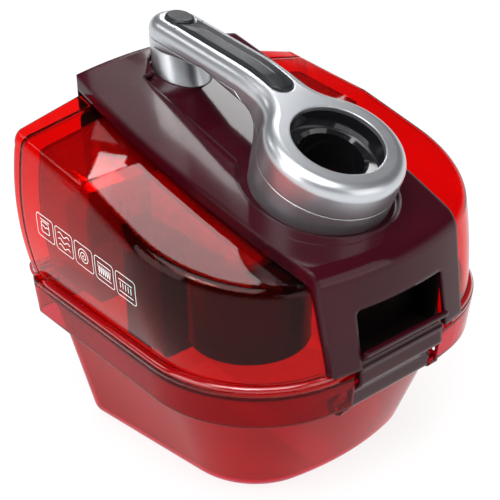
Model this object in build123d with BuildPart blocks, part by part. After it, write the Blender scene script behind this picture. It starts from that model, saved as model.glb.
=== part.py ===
from build123d import *

import os
from math import atan, cos, radians, sin, tan

# Dust bin of a vacuum cleaner. The latch side faces -Y, the handle runs along Y and the floor is Z = 0.
# Walls and clearances
wall = 2.5
thin_wall = 2.0
running_gap = 0.3
seat_gap = 0.2
edge_tolerance = 0.5

# Rim where the cover meets the tub
rim_half = 119.5
rim_front = -114.0
rim_rear = 104.0
rim_bow = 300.0
rim_corner = 80.0
rim_rear_corner = 9.0
parting_z = 102.0
skirt_depth = 22.0
skirt_taper = 5.0
web_thickness = 4.0
flange_edge = 2.8
foot_z = 108.0
flange_width = 5.5

# Tub below the rim
tub_top_half = 112.5
tub_top_rear = 97.0
tub_top_front = -106.0
tub_top_bow = 292.0
tub_top_corner = 73.0
tub_top_rear_corner = 12.0
tub_floor_half_rear = 98.0
tub_floor_half_front = 74.0
tub_floor_rear = 82.0
tub_floor_front = -73.0
tub_floor_bow = 190.0
tub_floor_corner = 52.0
tub_floor_rear_corner = 16.0
tub_floor_edge = 12.0
seal_offset = 0.8
seal_width = 2.2
seal_height = 1.8
seal_play = 0.1

# Upper shell: three outlines, one above the other, under a roof that falls to the front
shell_base_half = 113.5
shell_base_front = -112.5
shell_bulge_z = 156.0
shell_bulge_half = 122.0
shell_bulge_front = -100.5
shell_top_z = 240.0
shell_top_half = 103.0
shell_top_front = -76.0
shell_corner = 78.0
shell_bow = 296.0
roof_z = 185.6
roof_slope = 0.27
roof_ridge_half = 66.0
roof_fall = 0.26
roof_fall_end = 35.0
roof_reach = 135.0
roof_round = 8.0
roof_slot_half = 54.0
roof_slot_front = -78.0
roof_slot_rear = 99.0
roof_slot_corner = 8.0

# Spine strip over the roof and down the front
spine_height = 9.0
spine_rear = 114.3
spine_rear_half = 65.6
spine_rear_corner = 1.5
spine_mid_y = 10.0
spine_mid_half = 67.5
spine_front_y = -98.0
spine_front_half = 56.6
spine_leg_narrowing = 0.23
spine_crown_rear = 6.3
spine_crown_front = 1.0
spine_face_y = -118.0
spine_face_lean = 12.0
spine_face_bow = 260.0
spine_fold = 14.0
spine_recess = 3.5
spine_trough_half = 31.0
spine_reach = 85.0
spine_over = 12.0
leg_z = foot_z + running_gap
window_half = 35.3
window_top = 143.0
window_corner = 3.0

# Front latch
latch_y = -102.5
latch_z = 77.0
latch_half = 34.4
latch_barrel = 3.6
latch_plate = 3.0
latch_front = -114.5
latch_lip_front = -117.5
latch_lip_z = 119.0
latch_step_z = 86.0
latch_face_z = 96.0
latch_upper_front = -113.2
latch_bend_z = 112.0
latch_lip = 2.5
latch_bead_gap = 0.5
latch_bead_height = 2.6
latch_bead_room = 0.4
latch_pin_radius = 1.5
latch_boss_width = 7.0
latch_boss_radius = 4.5
latch_boss_reach = 8.0
latch_notch_half = 36.2
cover_notch_half = 48.0
latch_notch_back = -109.8

# Finger pocket behind the latch
pocket_half = 36.0
pocket_front = -107.6
pocket_depth = 19.2
pocket_top = 146.5

# Rear hinge
hinge_y = 112.0
hinge_z = parting_z + running_gap / 2
hinge_radius = 5.5
hinge_pin_radius = 1.5
hinge_ear_in = 92.0
hinge_ear_width = 5.0
hinge_knuckle_width = 8.0
hinge_arm = 16.0
hinge_knuckle_arm = 10.0

# Hose ring and handle
ring_y = -54.6
ring_z = 218.0
ring_tilt = 22.0
ring_radius = 43.0
ring_opening = 28.5
ring_lip = 3.0
ring_split = 22.6
bar_half = 17.5
bar_z = 254.0
bar_slope = 0.14
bar_split = 12.0
split_y = 16.0
post_y = 90.0
post_foot_radius = 19.5
post_foot_y = 88.0
post_foot_z = 214.0
post_pad = 21.0
collar_y = -39.0
collar_pad = 48.0
handle_front = -125.0
handle_end = 112.5
end_step = 0.2
handle_over = 10.0
handle_length = 230.0
under_y = 48.0
under_z = 235.5
under_slope = 0.29
arch_y = -2.5
arch_radius = 18.0
keyhole_blend = 30.0
bend_radius = 150.0
handle_round = 8.0
handle_under_round = 3.0

# Hose socket, its seal and the inlet duct
socket_radius = 30.7
socket_funnel = 10.0
socket_shoulder = 13.0
socket_play = 0.7
socket_tube = 23.5
socket_bore = 20.0
socket_end = 46.0
inlet_seal_height = 2.0
duct_radius = 17.5
duct_wall = 2.0
duct_flange = 2.5
duct_turn = 84.0
duct_bend = 22.0

# Cyclone tube
cyclone_x = -56.0
cyclone_y = -42.0
cyclone_radius = 37.0
cyclone_low = 108.0
cyclone_top = 160.0
finder_radius = 14.0
finder_wall = 1.5
finder_flange = 4.0
finder_low = 118.0
finder_slot_count = 10
finder_slot_width = 3.0
finder_slot_low = 124.0
finder_slot_top = 148.0
screen_thickness = 0.6

# Air hood over cyclone tube and filter housing
hood_in = -40.0
hood_out = -72.0
hood_front = -60.0
hood_inset = 5.0
hood_back = 7.0

# Filter housing and filters
housing_half = 88.0
housing_front = 1.0
housing_rear = 37.0
housing_low = 78.0
housing_top = 160.0
housing_corner = 4.0
foam_front = 10.0
foam_depth = 6.0
frame_depth = 17.0
frame_bar = 4.0
pleat_count = 26
pleat_web = 2.4

# Rear chamber, outlet and grille
chamber_inset = 10.0
chamber_low = 110.0
chamber_notch_half = 16.0
chamber_notch_front = 78.0
chamber_notch_low = 186.0
outlet_half = 76.0
outlet_low = 113.0
outlet_top = 141.0
outlet_corner = 6.0
outlet_lip = 2.5
grille_margin = 9.0
grille_flange = 2.0
grille_pitch = 6.0
grille_bar = 2.0

# Grip, release button and catch
grip_half = 8.5
grip_front = -13.0
grip_rear = 78.0
grip_rise = 2.2
grip_depth = 4.0
grip_round = 1.8
button_half = 8.5
button_front = 80.5
button_rear = 100.5
button_rise = 2.6
button_depth = 6.0
button_pocket = 10.5
rod_radius = 3.0
spring_bore = 6.5
spring_radius = 4.9
spring_wire = 1.0
spring_turns = 6
hook_low = 200.0
hook_height = 6.0
hook_half = 5.0
hook_nose = 110.0
hook_barb = 3.0
hook_slot_half = 7.0
hook_slot_z = 201.5
hook_slot_height = 13.0

# Screws
screw_radius = 1.5
screw_head = 2.8
screw_head_height = 1.8
screw_head_round = 0.6
screw_slot = 0.8
screw_play = 0.1
screw_seat = 1.9
screw_boss = 3.2
spine_screw_x = 59.0
spine_screw_rows = (-60.0, 70.0)
spine_screw_length = 9.0
spine_boss_height = 7.8
collar_screw_radius = 34.0
post_screw_x = 12.5
handle_screw_length = 12.0
grille_screw_inset = 4.5
grille_screw_length = 4.5

ring_sin = sin(radians(ring_tilt))
ring_cos = cos(radians(ring_tilt))
ring_plane = Plane(origin=(0, ring_y, ring_z), x_dir=(1, 0, 0), z_dir=(0, -ring_sin, ring_cos))
ring_axis = Axis(ring_plane.origin, ring_plane.z_dir)
ring_section = Plane(origin=ring_plane.origin, x_dir=(1, 0, 0), z_dir=(0, -ring_cos, -ring_sin))
slope_angle = atan(roof_slope)
end_radius = bar_half - end_step
end_y = handle_end - end_radius
bend_y = (bar_z - bar_slope * post_y - ring_z + ring_y * tan(radians(ring_tilt))) / (
    tan(radians(ring_tilt)) - bar_slope
)
spine_fold_y = spine_face_y + (roof_z + spine_height + roof_slope * spine_front_y - leg_z) * tan(
    radians(spine_face_lean)
)


def line_z(y, drop=0.0):
    """Height of the spine's side edge at y."""
    return roof_z + spine_height + roof_slope * y - drop


def crown_z(y, drop=0.0):
    """Height of the spine's crowned top on its centre line at y."""
    front = spine_face_y - spine_over
    share = (y - front) / (spine_rear + spine_over - front)
    return line_z(y, drop) + spine_crown_front + share * (spine_crown_rear - spine_crown_front)


def ring_line(y):
    """Height of the hose ring's plane at y."""
    return ring_z + (y - ring_y) * tan(radians(ring_tilt))


def bar_line(y):
    """Height of the handle bar's top at y."""
    return bar_z + (y - post_y) * bar_slope


def border(part, facing):
    """Edges round the group of faces whose normals pass the facing test."""
    groups = {}
    for face in part.faces().filter_by(facing):
        for edge in face.edges():
            key = tuple(round(value, 3) for value in (*edge.center(), edge.length))
            groups.setdefault(key, []).append(edge)
    return ShapeList([group[0] for group in groups.values() if len(group) == 1])


def bin_outline(half_rear, half_front, rear, front, bow, corner, rear_corner):
    """Outline of the bin from above: straight flanks, bowed front and rounded corners."""
    with BuildSketch() as outline:
        with BuildLine():
            Polyline(
                (-half_rear, rear),
                (-half_front, front),
                (half_front, front),
                (half_rear, rear),
                close=True,
            )
        make_face()
        with Locations((0, front + bow)):
            Circle(bow, mode=Mode.INTERSECT)
        fillet(outline.vertices().group_by(Axis.Y)[0], corner)
        fillet(outline.vertices().group_by(Axis.Y)[-1], rear_corner)
    return outline.sketch


def rim_outline(inset=0.0):
    """Outline of the rim, drawn in by inset."""
    return bin_outline(
        rim_half - inset,
        rim_half - inset,
        rim_rear - inset,
        rim_front + inset,
        rim_bow - inset,
        rim_corner - inset,
        rim_rear_corner - inset,
    )


def tub_top_outline(inset=0.0):
    """Outline of the tub's mouth, drawn in by inset."""
    return bin_outline(
        tub_top_half - inset,
        tub_top_half - inset,
        tub_top_rear - inset,
        tub_top_front + inset,
        tub_top_bow - inset,
        tub_top_corner - inset,
        tub_top_rear_corner - inset,
    )


def tub_floor_outline(inset=0.0):
    """Outline of the tub's floor, drawn in by inset."""
    return bin_outline(
        tub_floor_half_rear - inset,
        tub_floor_half_front - inset,
        tub_floor_rear - inset,
        tub_floor_front + inset,
        tub_floor_bow - inset,
        tub_floor_corner - inset,
        tub_floor_rear_corner - inset,
    )


def shell_outline(half, front, inset):
    """Outline of the upper shell at one height, drawn in by inset."""
    return bin_outline(
        half - inset,
        half - inset,
        rim_rear - inset,
        front + inset,
        shell_bow - inset,
        shell_corner - inset,
        rim_rear_corner - min(inset, rim_rear_corner / 2),
    )


def roof_section(y, fall, drop):
    """Cross-section under the roof at y: level under the spine, falling to the sides by fall."""
    ridge = roof_z + roof_slope * y - drop
    side = ridge - fall * (roof_reach - roof_ridge_half)
    with BuildSketch() as section:
        with BuildLine():
            Polyline(
                (-roof_reach, 0),
                (-roof_reach, side),
                (-roof_ridge_half, ridge),
                (roof_ridge_half, ridge),
                (roof_reach, side),
                (roof_reach, 0),
                close=True,
            )
        make_face()
    return section.sketch


def shell_blank(inset=0.0):
    """Solid form of the upper shell, drawn in by inset."""
    levels = (
        (parting_z, shell_base_half, shell_base_front),
        (shell_bulge_z, shell_bulge_half, shell_bulge_front),
        (shell_top_z, shell_top_half, shell_top_front),
    )
    stations = (
        (rim_rear + rim_rear_corner, roof_fall),
        (roof_fall_end, 0.0),
        (rim_front - rim_rear_corner, 0.0),
    )
    drop = inset / cos(slope_angle)
    with BuildPart() as blank:
        for level, half, front in levels:
            with BuildSketch(Plane.XY.offset(level)):
                add(shell_outline(half, front, inset))
        loft()
        for station, fall in stations:
            with BuildSketch(Plane.XZ.offset(-station)):
                add(roof_section(station, fall, drop))
        loft(ruled=True, mode=Mode.INTERSECT)
        if inset < roof_round:
            rear = rim_rear - inset
            brow = border(blank.part, lambda face: face.normal_at().Z > 0.6)
            brow = brow.filter_by(lambda edge: edge.bounding_box().min.Y < rear - edge_tolerance)
            fillet(brow, roof_round - inset)
    return blank.part


def skirt_block(top, depth, inset):
    """Tapered block under the rim, for the outside or the inside of the skirt."""
    with BuildPart() as block:
        with BuildSketch(Plane.XY.offset(top)):
            add(rim_outline(inset))
        extrude(amount=-depth, taper=skirt_taper)
    return block.part


def tub_blank(inset=0.0):
    """Solid form of the tub between floor and rim, drawn in by inset."""
    with BuildPart() as blank:
        with BuildSketch(Plane.XY.offset(inset)):
            add(tub_floor_outline(inset))
        with BuildSketch(Plane.XY.offset(parting_z)):
            add(tub_top_outline(inset))
        loft(ruled=True)
        fillet(blank.faces().sort_by(Axis.Z)[0].edges(), tub_floor_edge - inset)
    return blank.part


def crown_section(y, crown, drop):
    """Cross-section under the spine's crowned top at y."""
    edge = line_z(y, drop)
    side = edge - crown * ((spine_reach / spine_rear_half) ** 2 - 1)
    with BuildSketch() as section:
        with BuildLine():
            ThreePointArc((-spine_reach, side), (0, edge + crown), (spine_reach, side))
            Polyline((spine_reach, side), (spine_reach, 0), (-spine_reach, 0), (-spine_reach, side))
        make_face()
    return section.sketch


def under_crown(drop=0.0):
    """Everything below the spine's top surface, lowered by drop."""
    stations = ((spine_rear + spine_over, spine_crown_rear), (spine_face_y - spine_over, spine_crown_front))
    with BuildPart() as block:
        for station, crown in stations:
            with BuildSketch(Plane.XZ.offset(-station)):
                add(crown_section(station, crown, drop))
        loft(ruled=True)
    return block.part


def spine_outline(inset=0.0):
    """Barrel outline of the spine from above, run on to the front where the leaning face ends it."""
    leg_end = spine_face_y - spine_over
    leg_half = spine_front_half - spine_leg_narrowing * (spine_front_y - leg_end)
    with BuildSketch() as outline:
        with BuildLine():
            Line((spine_rear_half, spine_rear), (-spine_rear_half, spine_rear))
            ThreePointArc(
                (-spine_rear_half, spine_rear), (-spine_mid_half, spine_mid_y), (-spine_front_half, spine_front_y)
            )
            Polyline(
                (-spine_front_half, spine_front_y),
                (-leg_half, leg_end),
                (leg_half, leg_end),
                (spine_front_half, spine_front_y),
            )
            ThreePointArc(
                (spine_front_half, spine_front_y), (spine_mid_half, spine_mid_y), (spine_rear_half, spine_rear)
            )
        make_face()
        fillet(outline.vertices().group_by(Axis.Y)[-1], spine_rear_corner)
        if inset:
            offset(amount=-inset, mode=Mode.REPLACE)
    return outline.sketch


def spine_blank(inset=0.0):
    """Solid form of the spine: barrel outline, crowned top and leaning front face, drawn in by inset."""
    lean = radians(spine_face_lean)
    with BuildPart() as blank:
        with BuildSketch(Plane.XY.offset(leg_z)):
            add(spine_outline(inset))
        extrude(amount=shell_top_z - leg_z)
        with BuildSketch(Plane.XY.offset(leg_z)):
            with Locations((0, spine_face_y + inset + spine_face_bow)):
                Circle(spine_face_bow)
        extrude(amount=(shell_top_z - leg_z) / cos(lean), dir=(0, sin(lean), cos(lean)), mode=Mode.INTERSECT)
        add(under_crown(inset), mode=Mode.INTERSECT)
        fold = blank.edges().sort_by_distance((0, spine_fold_y, line_z(spine_fold_y)))[0]
        fillet(fold, spine_fold - inset)
    return blank.part


def handle_recess(grow, drop):
    """Recess in the spine's top under the handle, as deep as drop."""
    with BuildPart() as recess:
        with BuildSketch(Plane.XY.offset(leg_z)):
            with Locations((0, (collar_y + post_y) / 2)):
                Rectangle(2 * (spine_trough_half + grow), post_y - collar_y)
            with Locations((0, collar_y)):
                Circle(collar_pad + grow)
            with Locations((0, post_y)):
                Circle(post_pad + grow)
        extrude(amount=shell_top_z - leg_z)
        add(under_crown(drop), mode=Mode.SUBTRACT)
    return recess.part


def under_handle_top(rise=0.0):
    """Everything below the handle's top line, raised by rise."""
    far = handle_end + handle_over
    with BuildPart() as block:
        with BuildSketch(Plane.YZ) as profile:
            with BuildLine():
                Polyline(
                    (handle_front, ring_line(handle_front) + rise),
                    (bend_y, bar_line(bend_y) + rise),
                    (far, bar_line(far) + rise),
                    (far, parting_z),
                    (handle_front, parting_z),
                    close=True,
                )
            make_face()
            fillet(profile.vertices().sort_by_distance((bend_y, bar_line(bend_y) + rise))[0], bend_radius)
        extrude(amount=ring_radius + handle_over, both=True)
    return block.part


def under_handle_parting(gap=0.0):
    """Everything below the joint between the handle's two halves, raised by gap."""
    far = handle_end + handle_over
    with BuildPart() as block:
        with BuildSketch(Plane.YZ):
            with BuildLine():
                Polyline(
                    (handle_front, ring_line(handle_front) - ring_split + gap),
                    (arch_y, ring_line(arch_y) - ring_split + gap),
                    (split_y, bar_line(split_y) - bar_split + gap),
                    (far, bar_line(far) - bar_split + gap),
                    (far, parting_z),
                    (handle_front, parting_z),
                    close=True,
                )
            make_face()
        extrude(amount=ring_radius + handle_over, both=True)
    return block.part

def block(x0, x1, y0, y1, z0, z1):
    """Upright block between two opposite corners."""
    with BuildPart() as body:
        with BuildSketch(Plane.XY.offset(z0)):
            with Locations(((x0 + x1) / 2, (y0 + y1) / 2)):
                Rectangle(x1 - x0, y1 - y0)
        extrude(amount=z1 - z0)
    return body.part


def handle_blank():
    """Solid form of the handle: hose ring, bar, arch and rear post with its round end."""
    arch_z = under_z - (under_y - arch_y) * under_slope
    with BuildPart() as end_cap:
        with BuildSketch(Plane.XY.offset(under_z)):
            with Locations((0, end_y)):
                Circle(end_radius)
        extrude(amount=bar_z - under_z + 2 * bar_half)
        add(under_handle_top(-end_step), mode=Mode.INTERSECT)
        fillet(end_cap.faces().sort_by(Axis.Z)[-1].edges(), handle_round - end_step)
        fillet(end_cap.faces().sort_by(Axis.Z)[0].edges(), handle_under_round - end_step)
    with BuildPart() as blank:
        with BuildSketch(ring_plane) as keyhole:
            Circle(ring_radius)
            with Locations((0, handle_length / 2)):
                Rectangle(2 * bar_half, handle_length)
            fillet(keyhole.vertices().group_by(Axis.Y)[-2], keyhole_blend)
        extrude(amount=handle_length, both=True)
        with BuildSketch(Plane.YZ) as profile:
            with BuildLine():
                Polyline(
                    (handle_front, ring_line(handle_front)),
                    (bend_y, bar_line(bend_y)),
                    (end_y, bar_line(end_y)),
                    (end_y, under_z),
                    (under_y, under_z),
                    (arch_y, arch_z),
                    (arch_y, parting_z),
                    (handle_front, parting_z),
                    close=True,
                )
            make_face()
            fillet(profile.vertices().sort_by_distance((bend_y, bar_line(bend_y)))[0], bend_radius)
            fillet(profile.vertices().sort_by_distance((arch_y, arch_z))[0], arch_radius)
        extrude(amount=ring_radius + handle_over, both=True, mode=Mode.INTERSECT)
        brow = border(blank.part, lambda face: face.normal_at().Z > 0.3)
        fillet(brow.filter_by(lambda edge: edge.center().Y < end_y - edge_tolerance), handle_round)
        belly = border(blank.part, lambda face: face.normal_at().Z < -0.5)
        fillet(belly.filter_by(lambda edge: edge.center().Y < end_y - edge_tolerance), handle_under_round)
        add(end_cap.part)
        with BuildSketch(Plane.XY.offset(post_foot_z)):
            with Locations((0, post_foot_y)):
                Circle(post_foot_radius)
        with BuildSketch(Plane.XY.offset(under_z + handle_under_round)):
            with Locations((0, end_y)):
                Circle(end_radius)
        loft()
        add(under_crown(spine_recess - seat_gap), mode=Mode.SUBTRACT)
    return blank.part


def slot_block(half, front, rear, low, high):
    """Upright block with round ends, along the handle."""
    with BuildPart() as body:
        with BuildSketch(Plane.XY.offset(low)):
            with Locations((0, (front + rear) / 2)):
                SlotOverall(rear - front, 2 * half, rotation=90)
        extrude(amount=high - low)
    return body.part


def face_prism(inset, low):
    """Leaning, bowed prism behind the spine's front face, from height low upwards."""
    lean = radians(spine_face_lean)
    shift = (leg_z - low) * tan(lean)
    with BuildPart() as prism:
        with BuildSketch(Plane.XY.offset(low)):
            with Locations((0, spine_face_y + inset + spine_face_bow - shift)):
                Circle(spine_face_bow)
        extrude(amount=(shell_top_z - low) / cos(lean), dir=(0, sin(lean), cos(lean)))
    return prism.part


def hinge_leaf(starts, width, low, high, reach):
    """Hinge eyes with arms between two heights, one eye for each start in X."""
    with BuildPart() as leaf:
        for start in starts:
            with BuildSketch(Plane.YZ.offset(start)):
                with Locations((hinge_y, hinge_z)):
                    Circle(hinge_radius)
                with Locations((hinge_y - reach / 2, (low + high) / 2)):
                    Rectangle(reach, high - low)
            extrude(amount=width)
    return leaf.part


def x_rods(spans, y, z, radius):
    """Round rods along X."""
    with BuildPart() as rods:
        for start, end in spans:
            with BuildSketch(Plane.YZ.offset(start)):
                with Locations((y, z)):
                    Circle(radius)
            extrude(amount=end - start)
    return rods.part


def drill(plane, radius, low, high):
    """Round plug along a plane's normal between two heights, for holes and studs."""
    with BuildPart() as plug:
        with BuildSketch(plane.offset(low)):
            Circle(radius)
        extrude(amount=high - low)
    return plug.part


def screw(plane, length):
    """Pan-head screw with its head under the plane and its shank along the normal."""
    with BuildPart() as body:
        with BuildSketch(plane.offset(-screw_head_height - screw_play)) as head:
            Circle(screw_head)
        extrude(amount=screw_head_height)
        fillet(body.faces().sort_by(plane_axis(plane))[0].edges(), screw_head_round)
        with BuildSketch(plane.offset(-screw_play)):
            Circle(screw_radius)
        extrude(amount=length + screw_play)
        with BuildSketch(plane.offset(-screw_head_height - screw_play)):
            Rectangle(screw_head, screw_slot)
            Rectangle(screw_slot, screw_head)
        extrude(amount=screw_head_height / 2, mode=Mode.SUBTRACT)
    return body.part


def plane_axis(plane):
    """Axis along a plane's normal."""
    return Axis(plane.origin, plane.z_dir)


def roof_plane(x, y, height):
    """Plane parallel to the roof's ridge through a point."""
    return Plane(origin=(x, y, height), x_dir=(1, 0, 0), z_dir=(0, -sin(slope_angle), cos(slope_angle)))


flange_z = parting_z + running_gap
flange_top = flange_z + flange_edge
boss_in = latch_half + 2 * seat_gap
boss_out = boss_in + latch_boss_width
ear_out = hinge_ear_in + hinge_ear_width + hinge_knuckle_width + 2 * running_gap
knuckle_in = hinge_ear_in + hinge_ear_width + running_gap
pin_end = ear_out + hinge_ear_width
pocket_floor = flange_top + seat_gap
pocket_rear = pocket_front + pocket_depth
screw_hole = screw_radius + screw_play
spine_seats = [
    roof_plane(side * spine_screw_x, row, roof_z + roof_slope * row - wall / cos(slope_angle))
    for row in spine_screw_rows
    for side in (-1, 1)
]
collar_floor_y = ring_y + (ring_z - crown_z(collar_y, spine_recess)) * tan(radians(ring_tilt))
collar_points = [
    (collar_screw_radius * cos(radians(angle)), collar_floor_y + collar_screw_radius * sin(radians(angle)))
    for angle in (-90, 30, 150)
]
handle_points = collar_points + [(-post_screw_x, post_y), (post_screw_x, post_y)]
handle_seats = [roof_plane(x, y, crown_z(y, spine_recess + screw_seat)) for x, y in handle_points]
grille_half = outlet_half + grille_margin
grille_low = outlet_low - grille_margin
grille_top = outlet_top + grille_margin
outlet_mid = (outlet_low + outlet_top) / 2
outlet_height = outlet_top - outlet_low
grille_face = rim_rear + seat_gap + grille_flange
grille_seats = [
    Plane(origin=(x, grille_face, z), x_dir=(1, 0, 0), z_dir=(0, -1, 0))
    for x in (grille_screw_inset - grille_half, grille_half - grille_screw_inset)
    for z in (grille_low + grille_screw_inset, grille_top - grille_screw_inset)
]

spring_floor = under_z + seat_gap
rod_plane = Plane(origin=(0, post_y, 0), x_dir=(1, 0, 0), z_dir=(0, 0, 1))
duct_start = ring_plane.origin - ring_plane.z_dir * (socket_end + inlet_seal_height + 2 * seat_gap)
duct_corner = ring_plane.origin - ring_plane.z_dir * duct_turn
cyclone_plane = Plane(origin=(cyclone_x, cyclone_y, 0), x_dir=(1, 0, 0), z_dir=(0, 0, 1))
filter_half = housing_half - thin_wall - seat_gap
filter_low = housing_low + thin_wall + seat_gap
filter_top = housing_top - thin_wall - seat_gap
frame_front = foam_front + foam_depth + seat_gap
vent_low = chamber_low + thin_wall
vent_top = housing_top - frame_bar
vent_half = housing_half - frame_bar
chamber_front = housing_rear + seat_gap
chamber_rear = rim_rear - chamber_inset

os.makedirs("parts", exist_ok=True)

with BuildPart() as dust_tub:
    add(skirt_block(parting_z, skirt_depth, 0.0))
    add(skirt_block(parting_z - web_thickness, skirt_depth, wall), mode=Mode.SUBTRACT)
    add(tub_blank())
    add(hinge_leaf((-pin_end, -hinge_ear_in - hinge_ear_width, hinge_ear_in, ear_out), hinge_ear_width,
        hinge_z - hinge_radius, parting_z - running_gap, hinge_arm))
    for start in (-boss_out, boss_in):
        with BuildSketch(Plane.YZ.offset(start)):
            with Locations((latch_y, latch_z)):
                Circle(latch_boss_radius)
            with Locations((latch_y + latch_boss_reach / 2, latch_z)):
                Rectangle(latch_boss_reach, 2 * latch_boss_radius)
        extrude(amount=latch_boss_width)
    add(tub_blank(wall), mode=Mode.SUBTRACT)
    with BuildSketch(Plane.XY.offset(parting_z)):
        add(tub_top_outline(-seal_offset - seal_width - seal_play))
        add(tub_top_outline(seal_play - seal_offset), mode=Mode.SUBTRACT)
    extrude(amount=-seal_height, mode=Mode.SUBTRACT)
    web_low = parting_z - web_thickness
    add(block(-latch_notch_half, latch_notch_half, spine_face_y, latch_notch_back, web_low, parting_z),
        mode=Mode.SUBTRACT)
    add(block(-latch_notch_half, latch_notch_half, spine_face_y, latch_notch_back + wall, latch_z, web_low),
        mode=Mode.SUBTRACT)
    add(x_rods([(-boss_out, boss_out)], latch_y, latch_z, latch_pin_radius + screw_play), mode=Mode.SUBTRACT)
    hinge_spans = [(-pin_end, -hinge_ear_in), (hinge_ear_in, pin_end)]
    add(x_rods(hinge_spans, hinge_y, hinge_z, hinge_pin_radius + screw_play), mode=Mode.SUBTRACT)
dust_tub.part.label = "dust_tub"
export_step(dust_tub.part, "parts/dust_tub.step")

with BuildPart() as rim_seal:
    with BuildSketch(Plane.XY.offset(parting_z - seal_height + seal_play)):
        add(tub_top_outline(-seal_offset - seal_width))
        add(tub_top_outline(-seal_offset), mode=Mode.SUBTRACT)
    extrude(amount=seal_height)
rim_seal.part.label = "rim_seal"
export_step(rim_seal.part, "parts/rim_seal.step")

with BuildPart() as latch_pin:
    add(x_rods([(-boss_out, boss_out)], latch_y, latch_z, latch_pin_radius))
latch_pin.part.label = "latch_pin"
export_step(latch_pin.part, "parts/latch_pin.step")

with BuildPart() as hinge_pins:
    add(x_rods(hinge_spans, hinge_y, hinge_z, hinge_pin_radius))
hinge_pins.part.label = "hinge_pins"
export_step(hinge_pins.part, "parts/hinge_pins.step")

with BuildPart() as latch_flap:
    strip_y = latch_y - latch_barrel
    bead_low = flange_top + latch_bead_gap
    with BuildSketch(Plane.YZ.offset(-latch_half)) as profile:
        with BuildLine():
            Polyline(
                (strip_y, latch_z),
                (strip_y, latch_step_z),
                (latch_front, latch_face_z),
                (latch_upper_front, latch_bend_z),
                (latch_lip_front, latch_lip_z - latch_lip),
                (latch_lip_front, latch_lip_z),
                (latch_lip_front + latch_plate, latch_lip_z),
                (latch_upper_front + latch_plate, latch_bend_z + latch_lip / 2),
                (latch_front + latch_plate, latch_face_z + latch_lip / 2),
                (strip_y + latch_plate, latch_step_z + latch_lip / 2),
                (strip_y + latch_plate, latch_z),
                close=True,
            )
        make_face()
        fillet(profile.vertices().sort_by_distance((latch_front, latch_face_z))[0], latch_plate)
        fillet(profile.vertices().sort_by_distance((strip_y, latch_step_z))[0], latch_plate)
        fillet(profile.vertices().sort_by_distance((latch_upper_front, latch_bend_z))[0], 2 * latch_plate)
        with Locations((latch_y, latch_z)):
            Circle(latch_barrel)
        bead_back = latch_notch_back - latch_bead_room
        with Locations(((latch_front + bead_back) / 2, bead_low + latch_bead_height / 2)):
            Rectangle(bead_back - latch_front, latch_bead_height)
        with Locations((latch_y, latch_z)):
            Circle(latch_pin_radius + running_gap, mode=Mode.SUBTRACT)
    extrude(amount=2 * latch_half)
latch_flap.part.label = "latch_flap"
export_step(latch_flap.part, "parts/latch_flap.step")

with BuildPart() as upper_shell:
    add(shell_blank())
    with BuildSketch(Plane.XY.offset(parting_z)):
        add(rim_outline())
    extrude(amount=flange_top - parting_z)
    with BuildSketch(Plane.XY.offset(flange_top)):
        add(rim_outline())
    with BuildSketch(Plane.XY.offset(foot_z)):
        add(rim_outline(flange_width))
    loft(ruled=True)
    add(shell_blank(wall), mode=Mode.SUBTRACT)
    with BuildSketch(Plane.XY.offset(parting_z)):
        add(rim_outline())
        add(tub_top_outline(wall), mode=Mode.SUBTRACT)
    extrude(amount=flange_top - parting_z)
    knuckles = (-knuckle_in - hinge_knuckle_width, knuckle_in)
    add(hinge_leaf(knuckles, hinge_knuckle_width, flange_z + running_gap, hinge_z + hinge_radius, hinge_knuckle_arm))
    add(block(-rim_half, rim_half, rim_front, rim_rear, parting_z - wall, flange_z), mode=Mode.SUBTRACT)
    with BuildSketch(Plane.XY.offset(shell_bulge_z)):
        with Locations((0, (roof_slot_front + roof_slot_rear) / 2)):
            RectangleRounded(2 * roof_slot_half, roof_slot_rear - roof_slot_front, roof_slot_corner)
    extrude(amount=shell_top_z - shell_bulge_z, mode=Mode.SUBTRACT)
    add(block(-cover_notch_half, cover_notch_half, spine_face_y, latch_notch_back, flange_z, foot_z),
        mode=Mode.SUBTRACT)
    add(block(-latch_notch_half, latch_notch_half, spine_face_y, pocket_rear, flange_top,
        pocket_top + running_gap), mode=Mode.SUBTRACT)
    with BuildSketch(Plane.XZ.offset(-rim_rear)):
        with Locations((0, outlet_mid)):
            RectangleRounded(2 * outlet_half, outlet_height, outlet_corner)
        with Locations((0, hook_slot_z)):
            Rectangle(2 * hook_slot_half, hook_slot_height)
    extrude(amount=2 * wall, both=True, mode=Mode.SUBTRACT)
    hinge_holes = [(-pin_end, -hinge_ear_in), (hinge_ear_in, pin_end)]
    add(x_rods(hinge_holes, hinge_y, hinge_z, hinge_pin_radius + running_gap), mode=Mode.SUBTRACT)
    for seat in spine_seats:
        add(drill(seat, screw_hole, -wall, 2 * wall), mode=Mode.SUBTRACT)
    for seat in grille_seats:
        add(drill(seat, screw_hole, 0, grille_screw_length + wall), mode=Mode.SUBTRACT)
upper_shell.part.label = "upper_shell"
export_step(upper_shell.part, "parts/upper_shell.step")

with BuildPart() as spine_cavity:
    add(spine_blank(wall))
    add(handle_recess(wall, spine_recess + wall), mode=Mode.SUBTRACT)

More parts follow.
